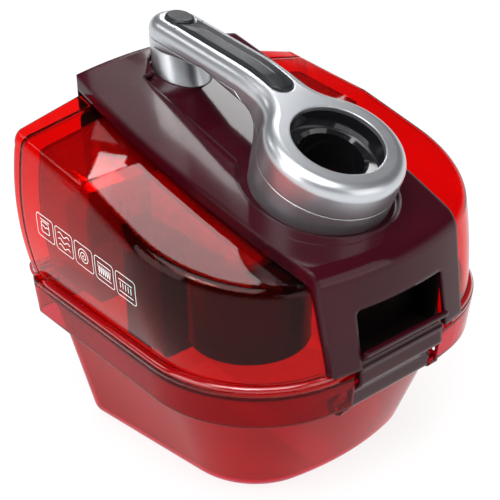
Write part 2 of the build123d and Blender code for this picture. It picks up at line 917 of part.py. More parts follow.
with BuildPart() as spine_cover:
    add(spine_blank())
    add(handle_recess(0.0, spine_recess), mode=Mode.SUBTRACT)
    add(spine_cavity.part, mode=Mode.SUBTRACT)
    for seat in spine_seats:
        add(drill(seat, screw_boss, wall, wall + spine_boss_height))
    with BuildSketch(Plane.YZ):
        with BuildLine():
            Polyline(
                (roof_slot_front, roof_z + roof_slope * roof_slot_front + seat_gap),
                (handle_end, roof_z + roof_slope * handle_end + seat_gap),
                (handle_end, 0),
                (roof_slot_front, 0),
                close=True,
            )
        make_face()
    extrude(amount=spine_reach, both=True, mode=Mode.SUBTRACT)
    add(shell_blank(-seat_gap), mode=Mode.SUBTRACT)
    with BuildSketch(Plane.XZ.offset(-spine_face_y)) as window:
        with Locations((0, (window_top + parting_z) / 2)):
            Rectangle(2 * window_half, window_top - parting_z)
        fillet(window.vertices().group_by(Axis.Y)[-1], window_corner)
    extrude(amount=pocket_depth, both=True, mode=Mode.SUBTRACT)
    add(drill(ring_plane, socket_tube + socket_play, -socket_end, 0), mode=Mode.SUBTRACT)
    add(drill(rod_plane, rod_radius + 2 * running_gap, hook_low, shell_top_z), mode=Mode.SUBTRACT)
    for seat in spine_seats:
        add(drill(seat, screw_hole, 0, wall + spine_boss_height - 1), mode=Mode.SUBTRACT)
    for seat in handle_seats:
        add(drill(seat, screw_hole, 0, 2 * wall), mode=Mode.SUBTRACT)
        add(drill(seat, screw_head + running_gap, -2 * wall, 0), mode=Mode.SUBTRACT)
spine_cover.part.label = "spine_cover"
export_step(spine_cover.part, "parts/spine_cover.step")

with BuildPart() as latch_pocket:
    add(block(-pocket_half, pocket_half, pocket_front, pocket_rear, pocket_floor, pocket_top))
    add(face_prism(wall + seat_gap, pocket_floor), mode=Mode.INTERSECT)
    inner_half = pocket_half - thin_wall
    add(block(-inner_half, inner_half, spine_face_y, pocket_rear - thin_wall,
        pocket_floor + thin_wall, pocket_top - thin_wall), mode=Mode.SUBTRACT)
latch_pocket.part.label = "latch_pocket"
export_step(latch_pocket.part, "parts/latch_pocket.step")

with BuildPart() as handle_cuts:
    add(drill(ring_plane, ring_opening, -ring_lip, wall))
    add(drill(ring_plane, socket_radius + running_gap, -ring_split - running_gap, -ring_lip))
    add(drill(ring_plane, socket_tube + socket_play, -2 * socket_end, -ring_split))
    add(slot_block(button_half + running_gap, button_front - running_gap, button_rear + running_gap,
        bar_line(post_y) - button_pocket, bar_line(handle_end) + wall))
    add(drill(rod_plane, spring_bore, spring_floor, bar_line(post_y)))
    add(drill(rod_plane, rod_radius + 2 * running_gap, parting_z, spring_floor))
    for seat in handle_seats:
        add(drill(seat, screw_hole, 0, handle_screw_length + 1))

with BuildPart() as grip_recess:
    add(slot_block(grip_half + seat_gap, grip_front - seat_gap, grip_rear + seat_gap, under_z - pocket_depth,
        bar_line(handle_end)))
    add(under_handle_top(-grip_depth - seat_gap), mode=Mode.SUBTRACT)

with BuildPart() as handle_lower:
    add(handle_blank())
    add(under_handle_parting(), mode=Mode.INTERSECT)
    add(handle_cuts.part, mode=Mode.SUBTRACT)
handle_lower.part.label = "handle_lower"
export_step(handle_lower.part, "parts/handle_lower.step")

with BuildPart() as handle_upper:
    add(handle_blank())
    add(under_handle_parting(seat_gap), mode=Mode.SUBTRACT)
    add(handle_cuts.part, mode=Mode.SUBTRACT)
    add(grip_recess.part, mode=Mode.SUBTRACT)
handle_upper.part.label = "handle_upper"
export_step(handle_upper.part, "parts/handle_upper.step")

with BuildPart() as grip_insert:
    add(slot_block(grip_half, grip_front, grip_rear, under_z - pocket_depth, bar_line(handle_end)))
    add(under_handle_top(grip_rise), mode=Mode.INTERSECT)
    add(under_handle_top(-grip_depth), mode=Mode.SUBTRACT)
    fillet(border(grip_insert.part, lambda face: face.normal_at().Z > 0.7), grip_round)
grip_insert.part.label = "grip_insert"
export_step(grip_insert.part, "parts/grip_insert.step")

with BuildPart() as inlet_socket:
    with BuildSketch(ring_section):
        with BuildLine():
            Polyline(
                (ring_opening, -ring_lip - seat_gap),
                (ring_opening - 1, -socket_funnel),
                (socket_bore + duct_wall, -socket_funnel - duct_wall / 2),
                (socket_bore, -socket_shoulder),
                (socket_bore, -socket_end),
                (socket_tube, -socket_end),
                (socket_tube, -socket_shoulder - duct_wall),
                (socket_radius - duct_wall, -socket_shoulder),
                (socket_radius - duct_wall, -ring_split + seat_gap),
                (socket_radius, -ring_split + seat_gap),
                (socket_radius, -ring_lip - seat_gap),
                close=True,
            )
        make_face()
    revolve(axis=ring_axis)
inlet_socket.part.label = "inlet_socket"
export_step(inlet_socket.part, "parts/inlet_socket.step")

with BuildPart() as inlet_seal:
    add(drill(ring_plane, socket_tube, -socket_end - seat_gap - inlet_seal_height, -socket_end - seat_gap))
    add(drill(ring_plane, duct_radius, -2 * socket_end, 0), mode=Mode.SUBTRACT)
inlet_seal.part.label = "inlet_seal"
export_step(inlet_seal.part, "parts/inlet_seal.step")

with BuildPart() as inlet_duct:
    with BuildLine():
        FilletPolyline(duct_start, duct_corner, (cyclone_x, duct_corner.Y, duct_corner.Z), radius=duct_bend)
    with BuildSketch(Plane(origin=duct_start, x_dir=(1, 0, 0), z_dir=-ring_plane.z_dir)):
        Circle(duct_radius)
        Circle(duct_radius - duct_wall, mode=Mode.SUBTRACT)
    sweep()
    with BuildSketch(Plane(origin=duct_start, x_dir=(1, 0, 0), z_dir=-ring_plane.z_dir)):
        Circle(socket_tube)
        Circle(duct_radius - duct_wall, mode=Mode.SUBTRACT)
    extrude(amount=duct_flange)
    add(drill(cyclone_plane, cyclone_radius + seat_gap, cyclone_low, shell_top_z), mode=Mode.SUBTRACT)
inlet_duct.part.label = "inlet_duct"
export_step(inlet_duct.part, "parts/inlet_duct.step")

with BuildPart() as cyclone_tube:
    add(drill(cyclone_plane, cyclone_radius, cyclone_low, cyclone_top))
    add(drill(cyclone_plane, cyclone_radius - thin_wall, cyclone_low, cyclone_top - thin_wall), mode=Mode.SUBTRACT)
    add(drill(cyclone_plane, finder_radius - finder_wall, cyclone_low, cyclone_top), mode=Mode.SUBTRACT)
    add(x_rods([(cyclone_x, 0)], duct_corner.Y, duct_corner.Z, duct_radius - duct_wall), mode=Mode.SUBTRACT)
cyclone_tube.part.label = "cyclone_tube"
export_step(cyclone_tube.part, "parts/cyclone_tube.step")

with BuildPart() as vortex_finder:
    finder_top = cyclone_top - thin_wall - seat_gap
    add(drill(cyclone_plane, finder_radius, finder_low, finder_top))
    add(drill(cyclone_plane, finder_radius + finder_flange, finder_top - finder_wall, finder_top))
    add(drill(cyclone_plane, finder_radius - finder_wall, finder_low + finder_wall, finder_top), mode=Mode.SUBTRACT)
    with BuildSketch(cyclone_plane.offset(finder_slot_low)):
        with PolarLocations(finder_radius, finder_slot_count):
            Rectangle(2 * finder_slot_width, finder_slot_width)
    extrude(amount=finder_slot_top - finder_slot_low, mode=Mode.SUBTRACT)
vortex_finder.part.label = "vortex_finder"
export_step(vortex_finder.part, "parts/vortex_finder.step")

with BuildPart() as mesh_screen:
    screen_low = finder_slot_low - finder_slot_width
    screen_top = finder_slot_top + finder_slot_width
    add(drill(cyclone_plane, finder_radius + seat_gap + screen_thickness, screen_low, screen_top))
    add(drill(cyclone_plane, finder_radius + seat_gap, screen_low, screen_top), mode=Mode.SUBTRACT)
mesh_screen.part.label = "mesh_screen"
export_step(mesh_screen.part, "parts/mesh_screen.step")

with BuildPart() as air_hood:
    hood_low = cyclone_top + seat_gap
    hood_rear = housing_rear - hood_back
    add(shell_blank(hood_inset))
    add(block(hood_out, hood_in, hood_front, hood_rear, hood_low, shell_top_z), mode=Mode.INTERSECT)
    with BuildPart(mode=Mode.PRIVATE) as hood_room:
        add(shell_blank(hood_inset + thin_wall))
        add(block(hood_out + thin_wall, hood_in - thin_wall, hood_front + thin_wall, hood_rear - thin_wall,
            hood_low + thin_wall, shell_top_z), mode=Mode.INTERSECT)
    add(hood_room.part, mode=Mode.SUBTRACT)
    add(drill(cyclone_plane, finder_radius - finder_wall, hood_low, hood_low + thin_wall), mode=Mode.SUBTRACT)
    add(block(hood_out + frame_bar, hood_in - frame_bar, housing_front + frame_bar, hood_rear - frame_bar, hood_low,
        hood_low + thin_wall), mode=Mode.SUBTRACT)
air_hood.part.label = "air_hood"
export_step(air_hood.part, "parts/air_hood.step")

with BuildPart() as filter_housing:
    add(block(-housing_half, housing_half, housing_front, housing_rear, housing_low, housing_top))
    fillet(filter_housing.edges().filter_by(Axis.Y), housing_corner)
    add(block(thin_wall - housing_half, housing_half - thin_wall, housing_front + thin_wall, housing_rear - thin_wall,
        housing_low + thin_wall, housing_top - thin_wall), mode=Mode.SUBTRACT)
    add(block(-vent_half, vent_half, foam_front, housing_rear, vent_low, vent_top), mode=Mode.SUBTRACT)
    add(block(hood_out + frame_bar, hood_in - frame_bar, housing_front + frame_bar, hood_rear - frame_bar,
        housing_top - thin_wall, housing_top), mode=Mode.SUBTRACT)
filter_housing.part.label = "filter_housing"
export_step(filter_housing.part, "parts/filter_housing.step")

with BuildPart() as foam_filter:
    add(block(-filter_half, filter_half, foam_front, foam_front + foam_depth, filter_low, filter_top))
foam_filter.part.label = "foam_filter"
export_step(foam_filter.part, "parts/foam_filter.step")

with BuildPart() as filter_frame:
    open_half = filter_half - frame_bar
    add(block(-filter_half, filter_half, frame_front, frame_front + frame_depth, filter_low, filter_top))
    add(block(-open_half, open_half, frame_front, frame_front + frame_depth, filter_low + frame_bar,
        filter_top - frame_bar), mode=Mode.SUBTRACT)
filter_frame.part.label = "filter_frame"
export_step(filter_frame.part, "parts/filter_frame.step")

with BuildPart() as filter_pleats:
    pleat_half = open_half - seat_gap
    pleat_rise = frame_depth - 2 * seat_gap - pleat_web
    pleat_xs = [pleat_half * (step / pleat_count - 1) for step in range(2 * pleat_count + 1)]
    crests = [(x, frame_front + seat_gap + pleat_rise * (step % 2)) for step, x in enumerate(pleat_xs)]
    with BuildSketch(Plane.XY.offset(filter_low + frame_bar + seat_gap)):
        with BuildLine():
            Polyline(*crests, *[(x, y + pleat_web) for x, y in reversed(crests)], close=True)
        make_face()
    extrude(amount=filter_top - filter_low - 2 * frame_bar - 2 * seat_gap)
filter_pleats.part.label = "filter_pleats"
export_step(filter_pleats.part, "parts/filter_pleats.step")

with BuildPart() as chamber_room:
    add(shell_blank(chamber_inset + thin_wall))
    add(block(-rim_half, rim_half, chamber_front + thin_wall, rim_rear, chamber_low + thin_wall, shell_top_z),
        mode=Mode.INTERSECT)
    add(block(-chamber_notch_half - thin_wall, chamber_notch_half + thin_wall, chamber_notch_front - thin_wall,
        rim_rear, chamber_notch_low - thin_wall, shell_top_z), mode=Mode.SUBTRACT)

with BuildPart() as rear_chamber:
    add(shell_blank(chamber_inset))
    add(block(-rim_half, rim_half, chamber_front, rim_rear, chamber_low, shell_top_z), mode=Mode.INTERSECT)
    add(block(-chamber_notch_half, chamber_notch_half, chamber_notch_front, rim_rear, chamber_notch_low,
        shell_top_z), mode=Mode.SUBTRACT)
    add(chamber_room.part, mode=Mode.SUBTRACT)
    add(block(-vent_half, vent_half, housing_front, chamber_front + thin_wall, vent_low, vent_top),
        mode=Mode.SUBTRACT)
    add(block(-outlet_half, outlet_half, chamber_rear - thin_wall, rim_rear, outlet_low, outlet_top),
        mode=Mode.SUBTRACT)
rear_chamber.part.label = "rear_chamber"
export_step(rear_chamber.part, "parts/rear_chamber.step")

with BuildPart() as outlet_seal:
    with BuildSketch(Plane.XZ.offset(-chamber_rear - seat_gap)):
        with Locations((0, outlet_mid)):
            RectangleRounded(2 * (outlet_half + outlet_lip), outlet_height + 2 * outlet_lip, outlet_corner)
            RectangleRounded(2 * outlet_half, outlet_height, outlet_corner, mode=Mode.SUBTRACT)
    extrude(amount=chamber_rear + 2 * seat_gap + wall - rim_rear)
outlet_seal.part.label = "outlet_seal"
export_step(outlet_seal.part, "parts/outlet_seal.step")

with BuildPart() as outlet_grille:
    with BuildSketch(Plane.XZ.offset(-grille_face)):
        with Locations((0, (grille_low + grille_top) / 2)):
            RectangleRounded(2 * grille_half, grille_top - grille_low, outlet_corner)
    extrude(amount=grille_flange)
    with BuildSketch(Plane.XZ.offset(grille_flange - grille_face)):
        with Locations((0, outlet_mid)):
            RectangleRounded(2 * (outlet_half - seat_gap), outlet_height - 2 * seat_gap, outlet_corner)
    extrude(amount=wall)
    with BuildSketch(Plane.XZ.offset(-grille_face)):
        with Locations((0, outlet_mid)):
            with GridLocations(grille_pitch, 0, int(2 * outlet_half / grille_pitch), 1):
                Rectangle(grille_pitch - grille_bar, outlet_height - 2 * grille_pitch)
    extrude(amount=2 * wall, mode=Mode.SUBTRACT)
    for seat in grille_seats:
        add(drill(seat, screw_hole, 0, grille_flange), mode=Mode.SUBTRACT)
outlet_grille.part.label = "outlet_grille"
export_step(outlet_grille.part, "parts/outlet_grille.step")

with BuildPart() as spine_screws:
    for seat in spine_seats:
        add(screw(seat, spine_screw_length))
spine_screws.part.label = "spine_screws"
export_step(spine_screws.part, "parts/spine_screws.step")

with BuildPart() as handle_screws:
    for seat in handle_seats:
        add(screw(seat, handle_screw_length))
handle_screws.part.label = "handle_screws"
export_step(handle_screws.part, "parts/handle_screws.step")

with BuildPart() as grille_screws:
    for seat in grille_seats:
        add(screw(seat, grille_screw_length))
grille_screws.part.label = "grille_screws"
export_step(grille_screws.part, "parts/grille_screws.step")

with BuildPart() as release_button:
    add(slot_block(button_half, button_front, button_rear, under_z, bar_line(handle_end) + wall))
    add(under_handle_top(button_rise), mode=Mode.INTERSECT)
    button_low = bar_line(post_y) - button_depth
    add(block(-bar_half, bar_half, button_front, button_rear, parting_z, button_low), mode=Mode.SUBTRACT)
    fillet(border(release_button.part, lambda face: face.normal_at().Z > 0.7), grip_round)
    add(drill(rod_plane, rod_radius + screw_play, parting_z, button_low + wall), mode=Mode.SUBTRACT)
release_button.part.label = "release_button"
export_step(release_button.part, "parts/release_button.step")

with BuildPart() as push_rod:
    add(drill(rod_plane, rod_radius, hook_low, button_low + wall - seat_gap))
    hook_top = hook_low + hook_height
    add(block(-hook_half, hook_half, post_y - rod_radius, hook_nose, hook_low, hook_top))
    add(block(-hook_half, hook_half, hook_nose - hook_barb, hook_nose, hook_top, hook_top + hook_barb))
push_rod.part.label = "push_rod"
export_step(push_rod.part, "parts/push_rod.step")

with BuildPart() as button_spring:
    spring_length = button_low - spring_floor - 2 * seat_gap - spring_wire
    spring_start = spring_floor + seat_gap + spring_wire / 2
    with BuildLine() as coil:
        Helix(spring_length / spring_turns, spring_length, spring_radius, center=(0, post_y, spring_start))
    with BuildSketch(Plane(origin=coil.line @ 0, z_dir=coil.line % 0)):
        Circle(spring_wire / 2)
    sweep(is_frenet=True)
button_spring.part.label = "button_spring"
export_step(button_spring.part, "parts/button_spring.step")
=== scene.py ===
"""Looks of a cyclone dust bin: red tub and cover, maroon spine and latch, silver carrying handle.

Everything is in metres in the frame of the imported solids. The solids keep their shapes and get
procedural finishes. New pieces are the rear brows and the rim beads of the cover's shell, the soft grip,
the button's spring and the printed marks.
"""

import logging
import math
from dataclasses import dataclass
from enum import Enum
from typing import Any, Dict, List, Optional, Tuple, Union

import bpy
import numpy as np
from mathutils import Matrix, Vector


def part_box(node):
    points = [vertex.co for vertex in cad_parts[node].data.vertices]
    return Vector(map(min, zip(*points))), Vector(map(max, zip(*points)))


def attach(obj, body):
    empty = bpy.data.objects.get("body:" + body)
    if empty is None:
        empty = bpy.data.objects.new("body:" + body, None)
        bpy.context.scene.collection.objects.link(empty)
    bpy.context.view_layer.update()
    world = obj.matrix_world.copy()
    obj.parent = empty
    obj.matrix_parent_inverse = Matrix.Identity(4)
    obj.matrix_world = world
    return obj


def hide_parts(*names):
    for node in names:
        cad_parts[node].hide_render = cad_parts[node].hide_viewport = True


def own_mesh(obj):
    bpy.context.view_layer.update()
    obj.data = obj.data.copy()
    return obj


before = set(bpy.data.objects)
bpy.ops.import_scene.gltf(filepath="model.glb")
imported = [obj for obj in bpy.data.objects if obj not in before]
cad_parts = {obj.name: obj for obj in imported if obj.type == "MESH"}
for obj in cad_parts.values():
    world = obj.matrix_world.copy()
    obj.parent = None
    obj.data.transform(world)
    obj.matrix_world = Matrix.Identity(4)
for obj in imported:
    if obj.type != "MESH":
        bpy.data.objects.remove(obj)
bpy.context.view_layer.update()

LOG = logging.getLogger("dust_bin")
COVER = "cover"

FULL_TURN = 2.0 * math.pi
HALF_TURN = math.pi
QUARTER_TURN = math.pi / 2
MIRROR = np.array([-1.0, 1.0, 1.0])
WELD_GAP = 0.00001
SHARP_ANGLE = math.radians(40.0)
BEVEL_SAMPLES = 6
WHITE = (1.0, 1.0, 1.0, 1.0)

# Socket numbers of the Mix node when it mixes colours
MIX_SHARE, MIX_FIRST, MIX_SECOND, MIX_RESULT = 0, 6, 7, 2

Rgb = Tuple[float, float, float]
Point = Tuple[float, float, float]
Spot = Tuple[float, float]
Span = Tuple[float, float]
Stroke = Tuple[np.ndarray, bool]
Inputs = Dict[Union[str, int], Any]


class Effect(Enum):
    """Shader node groups that several finishes share."""

    GRAIN = "moulded_grain"
    DRIFT = "tint_drift"
    SCUFF = "handling_scuffs"
    DUST = "settled_dust"


def rgba(tint: Rgb) -> Tuple[float, float, float, float]:
    """Adds full opacity to a tint."""
    return (*tint, 1.0)


class Board:
    """A shader node tree with short calls that add nodes and join their sockets."""

    def __init__(self, tree: bpy.types.NodeTree) -> None:
        """Keeps the tree.

        Args:
            tree: the node tree to fill.
        """
        self.tree = tree

    def feed(self, socket: bpy.types.NodeSocket, value: Any) -> None:
        """Joins an input to another socket, or sets its constant.

        Args:
            socket: the input.
            value: the socket to join it to, or the constant.
        """
        if isinstance(value, bpy.types.NodeSocket):
            self.tree.links.new(value, socket)
        else:
            socket.default_value = value

    def add(self, kind: str, inputs: Optional[Inputs] = None, **settings: Any) -> bpy.types.Node:
        """Adds one node.

        Args:
            kind: Blender's name of the node type.
            inputs: input name or number to a constant or to a socket to join.
            settings: properties of the node itself.

        Returns:
            The new node.
        """
        node = self.tree.nodes.new(kind)
        for name, value in settings.items():
            setattr(node, name, value)
        for key, value in (inputs or {}).items():
            self.feed(node.inputs[key], value)
        return node

    def place(self) -> bpy.types.NodeSocket:
        """Adds Object coordinates and returns them."""
        return self.add("ShaderNodeTexCoord").outputs["Object"]

    def noise(self, place: Any, scale: Any, detail: float) -> bpy.types.NodeSocket:
        """Adds a noise over a place and returns its value."""
        inputs = {"Vector": place, "Scale": scale, "Detail": detail}
        return self.add("ShaderNodeTexNoise", inputs).outputs[0]

    def math(self, operation: str, *values: Any) -> bpy.types.NodeSocket:
        """Adds a Math node with two or three values and returns its result."""
        return self.add("ShaderNodeMath", dict(enumerate(values)), operation=operation).outputs[0]

    def spread(self, value: Any, span: Span, start: float = 0.0, end: float = 1.0) -> bpy.types.NodeSocket:
        """Maps a value smoothly from a span to the run from start to end.

        Args:
            value: the socket to map.
            span: the values that are mapped to start and end.
            start: the result at the span's first value.
            end: the result at its second.

        Returns:
            The result's socket.
        """
        inputs = {"Value": value, "From Min": span[0], "From Max": span[1], "To Min": start, "To Max": end}
        node = self.add("ShaderNodeMapRange", inputs, interpolation_type="SMOOTHSTEP")
        return node.outputs["Result"]

    def blend(self, share: Any, first: Any, second: Any) -> bpy.types.NodeSocket:
        """Mixes two colours by a share and returns the result."""
        inputs = {MIX_SHARE: share, MIX_FIRST: first, MIX_SECOND: second}
        return self.add("ShaderNodeMix", inputs, data_type="RGBA").outputs[MIX_RESULT]

    def group(self, effect: Effect, inputs: Inputs) -> bpy.types.Node:
        """Places a shared effect with its own values and returns the node."""
        return self.add("ShaderNodeGroup", inputs, node_tree=bpy.data.node_groups[effect.value])


@dataclass(frozen=True)
class Effects:
    """Builds the shared shader node groups once.

    A span is the run of noise values over which an effect sets in.
    """

    grain_scale: float = 900.0
    grain_detail: float = 3.0
    pit_share: float = 0.7
    cell_share: float = 0.3
    drift_scale: float = 14.0
    drift_detail: float = 4.0
    drift_span: Span = (0.35, 0.65)
    scuff_scale: float = 40.0
    scuff_turn: Point = (0.4, 0.7, 0.9)
    scuff_stretch: Point = (1.0, 14.0, 6.0)
    line_detail: float = 6.0
    line_span: Span = (0.5, 0.72)
    cloud_detail: float = 3.0
    cloud_span: Span = (0.4, 0.7)
    dust_scale: float = 120.0
    dust_detail: float = 8.0
    upward_span: Span = (0.3, 1.0)
    speck_span: Span = (0.45, 0.8)

    def build(self) -> None:
        """Makes every group."""
        self._grain()
        self._drift()
        self._scuff()
        self._dust()

    @staticmethod
    def _start(effect: Effect, inputs: Dict[str, Any], output: str, kind: str = "NodeSocketFloat") -> Board:
        """Makes an empty group with its sockets.

        Args:
            effect: the group's name.
            inputs: name and default value of each input, a number or a colour.
            output: name of the output.
            kind: socket type of the output.

        Returns:
            A board on the group's tree.
        """
        tree = bpy.data.node_groups.new(effect.value, "ShaderNodeTree")
        for name, value in inputs.items():
            given = "NodeSocketColor" if isinstance(value, tuple) else "NodeSocketFloat"
            socket = tree.interface.new_socket(name, in_out="INPUT", socket_type=given)
            socket.default_value = value
        tree.interface.new_socket(output, in_out="OUTPUT", socket_type=kind)
        return Board(tree)

    def _grain(self) -> None:
        """Fine pits of a textured mould: noise and cell distance added as a height."""
        board = self._start(Effect.GRAIN, {"Scale": self.grain_scale}, "Height")
        scale = board.add("NodeGroupInput").outputs["Scale"]
        place = board.place()
        pits = board.noise(place, scale, self.grain_detail)
        cells = board.add("ShaderNodeTexVoronoi", {"Vector": place, "Scale": scale}).outputs["Distance"]
        low = board.math("MULTIPLY", cells, self.cell_share)
        board.add("NodeGroupOutput", {"Height": board.math("MULTIPLY_ADD", pits, self.pit_share, low)})

    def _drift(self) -> None:
        """Slow change between two near tints, as in moulded plastic: a noise mixes them."""
        inputs = {"Tint": WHITE, "Drift": WHITE, "Scale": self.drift_scale}
        board = self._start(Effect.DRIFT, inputs, "Color", "NodeSocketColor")
        entry = board.add("NodeGroupInput").outputs
        cloud = board.noise(board.place(), entry["Scale"], self.drift_detail)
        share = board.spread(cloud, self.drift_span)
        board.add("NodeGroupOutput", {"Color": board.blend(share, entry["Tint"], entry["Drift"])})

    def _scuff(self) -> None:
        """Fine rubbed lines and hazy spots that raise the roughness: stretched noise times a cloud."""
        inputs = {"Low": 0.0, "High": 1.0, "Scale": self.scuff_scale}
        board = self._start(Effect.SCUFF, inputs, "Roughness")
        entry = board.add("NodeGroupInput").outputs
        place = board.place()
        stretch = {"Vector": place, "Rotation": self.scuff_turn, "Scale": self.scuff_stretch}
        turned = board.add("ShaderNodeMapping", stretch).outputs[0]
        lines = board.noise(turned, entry["Scale"], self.line_detail)
        cloud = board.noise(place, entry["Scale"], self.cloud_detail)
        rubbed = board.spread(lines, self.line_span)
        mask = board.math("MULTIPLY", rubbed, board.spread(cloud, self.cloud_span))
        reach = board.math("SUBTRACT", entry["High"], entry["Low"])
        board.add("NodeGroupOutput", {"Roughness": board.math("MULTIPLY_ADD", mask, reach, entry["Low"])})

    def _dust(self) -> None:
        """Thin dust on faces that look up: height of the normal times a speckled noise."""
        board = self._start(Effect.DUST, {"Amount": 0.0, "Scale": self.dust_scale}, "Mask")
        entry = board.add("NodeGroupInput").outputs
        specks = board.noise(board.place(), entry["Scale"], self.dust_detail)
        normal = board.add("ShaderNodeNewGeometry").outputs["Normal"]
        height = board.add("ShaderNodeSeparateXYZ", {0: normal}).outputs["Z"]
        upward = board.spread(height, self.upward_span)
        mask = board.math("MULTIPLY", upward, board.spread(specks, self.speck_span))
        board.add("NodeGroupOutput", {"Mask": board.math("MULTIPLY", mask, entry["Amount"])})


@dataclass(frozen=True)
class Finish:
    """One moulded, painted or metal finish, from its tint to its grain.

    Roughness runs from low to high along scuffs, bump is the height of the grain and edge the radius
    of softened edges, both in metres. Where shadow is given, it tints the light that comes through.
    """

    name: str
    tint: Rgb
    drift: Rgb
    low: float
    high: float
    grain: float = 900.0
    bump: float = 0.00002
    metallic: float = 0.0
    transmission: float = 0.0
    ior: float = 1.49
    coat: float = 0.0
    coat_roughness: float = 0.05
    specular: float = 0.5
    scuff: float = 40.0
    dust: float = 0.0
    dust_tint: Rgb = (0.55, 0.5, 0.46)
    edge: float = 0.0
    shadow: Optional[Rgb] = None

    def material(self) -> bpy.types.Material:
        """Builds the finish's material, or returns the one already built.

        Returns:
            The Blender material.
        """
        made = bpy.data.materials.get(self.name)
        if made is not None:
            return made
        made = bpy.data.materials.new(self.name)
        made.use_nodes = True
        made.diffuse_color = rgba(self.tint)
        board = Board(made.node_tree)
        board.tree.nodes.clear()
        tints = {"Tint": rgba(self.tint), "Drift": rgba(self.drift)}
        colour = board.group(Effect.DRIFT, tints).outputs["Color"]
        scuffs = {"Low": self.low, "High": self.high, "Scale": self.scuff}
        rough = board.group(Effect.SCUFF, scuffs).outputs["Roughness"]
        if self.dust > 0.0:
            dust = board.group(Effect.DUST, {"Amount": self.dust}).outputs["Mask"]
            colour = board.blend(dust, colour, rgba(self.dust_tint))
            rough = board.math("MAXIMUM", rough, dust)
        grain = board.group(Effect.GRAIN, {"Scale": self.grain}).outputs["Height"]
        bump = board.add("ShaderNodeBump", {"Height": grain, "Distance": self.bump})
        if self.edge > 0.0:
            soft = board.add("ShaderNodeBevel", {"Radius": self.edge}, samples=BEVEL_SAMPLES)
            board.feed(bump.inputs["Normal"], soft.outputs["Normal"])
        surface = board.add(
            "ShaderNodeBsdfPrincipled",
            {
                "Base Color": colour,
                "Roughness": rough,
                "Normal": bump.outputs["Normal"],
                "Metallic": self.metallic,
                "IOR": self.ior,
                "Transmission Weight": self.transmission,
                "Coat Weight": self.coat,
                "Coat Roughness": self.coat_roughness,
                "Specular IOR Level": self.specular,
            },
        )
        shader = surface.outputs[0]
        if self.shadow is not None:
            shader = self._pass_light(board, shader, self.shadow)
        board.add("ShaderNodeOutputMaterial", {"Surface": shader})
        return made

    @staticmethod
    def _pass_light(board: Board, shader: bpy.types.NodeSocket, shadow: Rgb) -> bpy.types.NodeSocket:
        """Lets tinted light through to the inside: shadow rays see a clear tint.

        Args:
            board: the material's board.
            shader: the surface seen by every other ray.
            shadow: the tint of the light that comes through.

        Returns:
            The mixed shader.
        """
        clear = board.add("ShaderNodeBsdfTransparent", {"Color": rgba(shadow)})
        rays = board.add("ShaderNodeLightPath").outputs["Is Shadow Ray"]
        return board.add("ShaderNodeMixShader", {0: rays, 1: shader, 2: clear.outputs[0]}).outputs[0]

    def dress(self, *nodes: str) -> None:
        """Puts the finish on solids of the frame.

        Args:
            nodes: the solids' names.
        """
        for node in nodes:
            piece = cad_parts[node]
            piece.data.materials.clear()
            piece.data.materials.append(self.material())
            LOG.info("%s: %s", node, self.name)


CLEAR_RED = Finish(
    "clear_red_shell", tint=(0.88, 0.006, 0.004), drift=(0.82, 0.005, 0.005), low=0.015, high=0.08,
    bump=0.000004, transmission=1.0, ior=1.25, shadow=(0.95, 0.12, 0.1), dust=0.01, edge=0.0025,
)
BEAD_RED = Finish(
    "gloss_red_bead", tint=(0.42, 0.004, 0.008), drift=(0.36, 0.003, 0.007), low=0.05, high=0.12,
    bump=0.000003, transmission=0.5, ior=1.49, coat=1.0, shadow=(0.9, 0.12, 0.1),
)
FROSTED_RED = Finish(
    "frosted_red_tub", tint=(0.60, 0.004, 0.024), drift=(0.54, 0.003, 0.020), low=0.10, high=0.18,
    bump=0.000006, transmission=0.97, ior=1.20, shadow=(0.85, 0.1, 0.1), edge=0.002,
)
DARK_SMOKE = Finish(
    "dark_smoked_cyclone", tint=(0.008, 0.002, 0.002), drift=(0.006, 0.001, 0.001), low=0.08, high=0.2,
    bump=0.00001, transmission=0.04, specular=0.12, dust=0.004,
)
SMOKE = Finish(
    "smoked_inner_duct", tint=(0.55, 0.05, 0.05), drift=(0.45, 0.03, 0.03), low=0.05, high=0.2,
    bump=0.00001, transmission=0.85, shadow=(0.7, 0.2, 0.2), dust=0.1,
)
MAROON = Finish(
    "maroon_gloss", tint=(0.032, 0.002, 0.006), drift=(0.026, 0.002, 0.005), low=0.10, high=0.20,
    bump=0.000004, coat=0.15, coat_roughness=0.04, specular=0.18, edge=0.0032,
)
SILVER = Finish(
    "silver_paint", tint=(0.60, 0.62, 0.65), drift=(0.55, 0.57, 0.60), low=0.32, high=0.40,
    grain=2500.0, bump=0.000008, metallic=0.92, coat=0.1, coat_roughness=0.2, edge=0.0012,
)
SOFT_GRIP = Finish(
    "soft_touch_grip", tint=(0.008, 0.009, 0.011), drift=(0.011, 0.012, 0.014), low=0.30, high=0.42,
    bump=0.00002, specular=0.35,
)
GLOSS_BLACK = Finish(
    "gloss_black_socket", tint=(0.006, 0.006, 0.007), drift=(0.009, 0.009, 0.010), low=0.08, high=0.2,
    bump=0.000004, coat=0.4,
)
BLACK_PLASTIC = Finish(
    "black_moulding", tint=(0.014, 0.012, 0.012), drift=(0.020, 0.018, 0.018), low=0.35, high=0.5,
    bump=0.00003, specular=0.25,
)
# Black of the inner mouldings and the latch pocket, darker and duller than the plain black moulding: partly
# their own black, partly painted shade for the dim inside of the cover and the recess behind the window.
BLACK_WITH_PAINTED_SHADE = Finish(
    "black_with_painted_shade", tint=(0.005, 0.003, 0.003), drift=(0.007, 0.004, 0.004), low=0.35, high=0.5,
    bump=0.00003, specular=0.12,
)
RIM_RUBBER = Finish(
    "rim_silicone", tint=(0.16, 0.006, 0.010), drift=(0.13, 0.005, 0.009), low=0.4, high=0.55,
    bump=0.00002, specular=0.3,
)
RUBBER = Finish(
    "seal_rubber", tint=(0.012, 0.012, 0.012), drift=(0.018, 0.018, 0.018), low=0.6, high=0.75,
    bump=0.00003, specular=0.3,
)
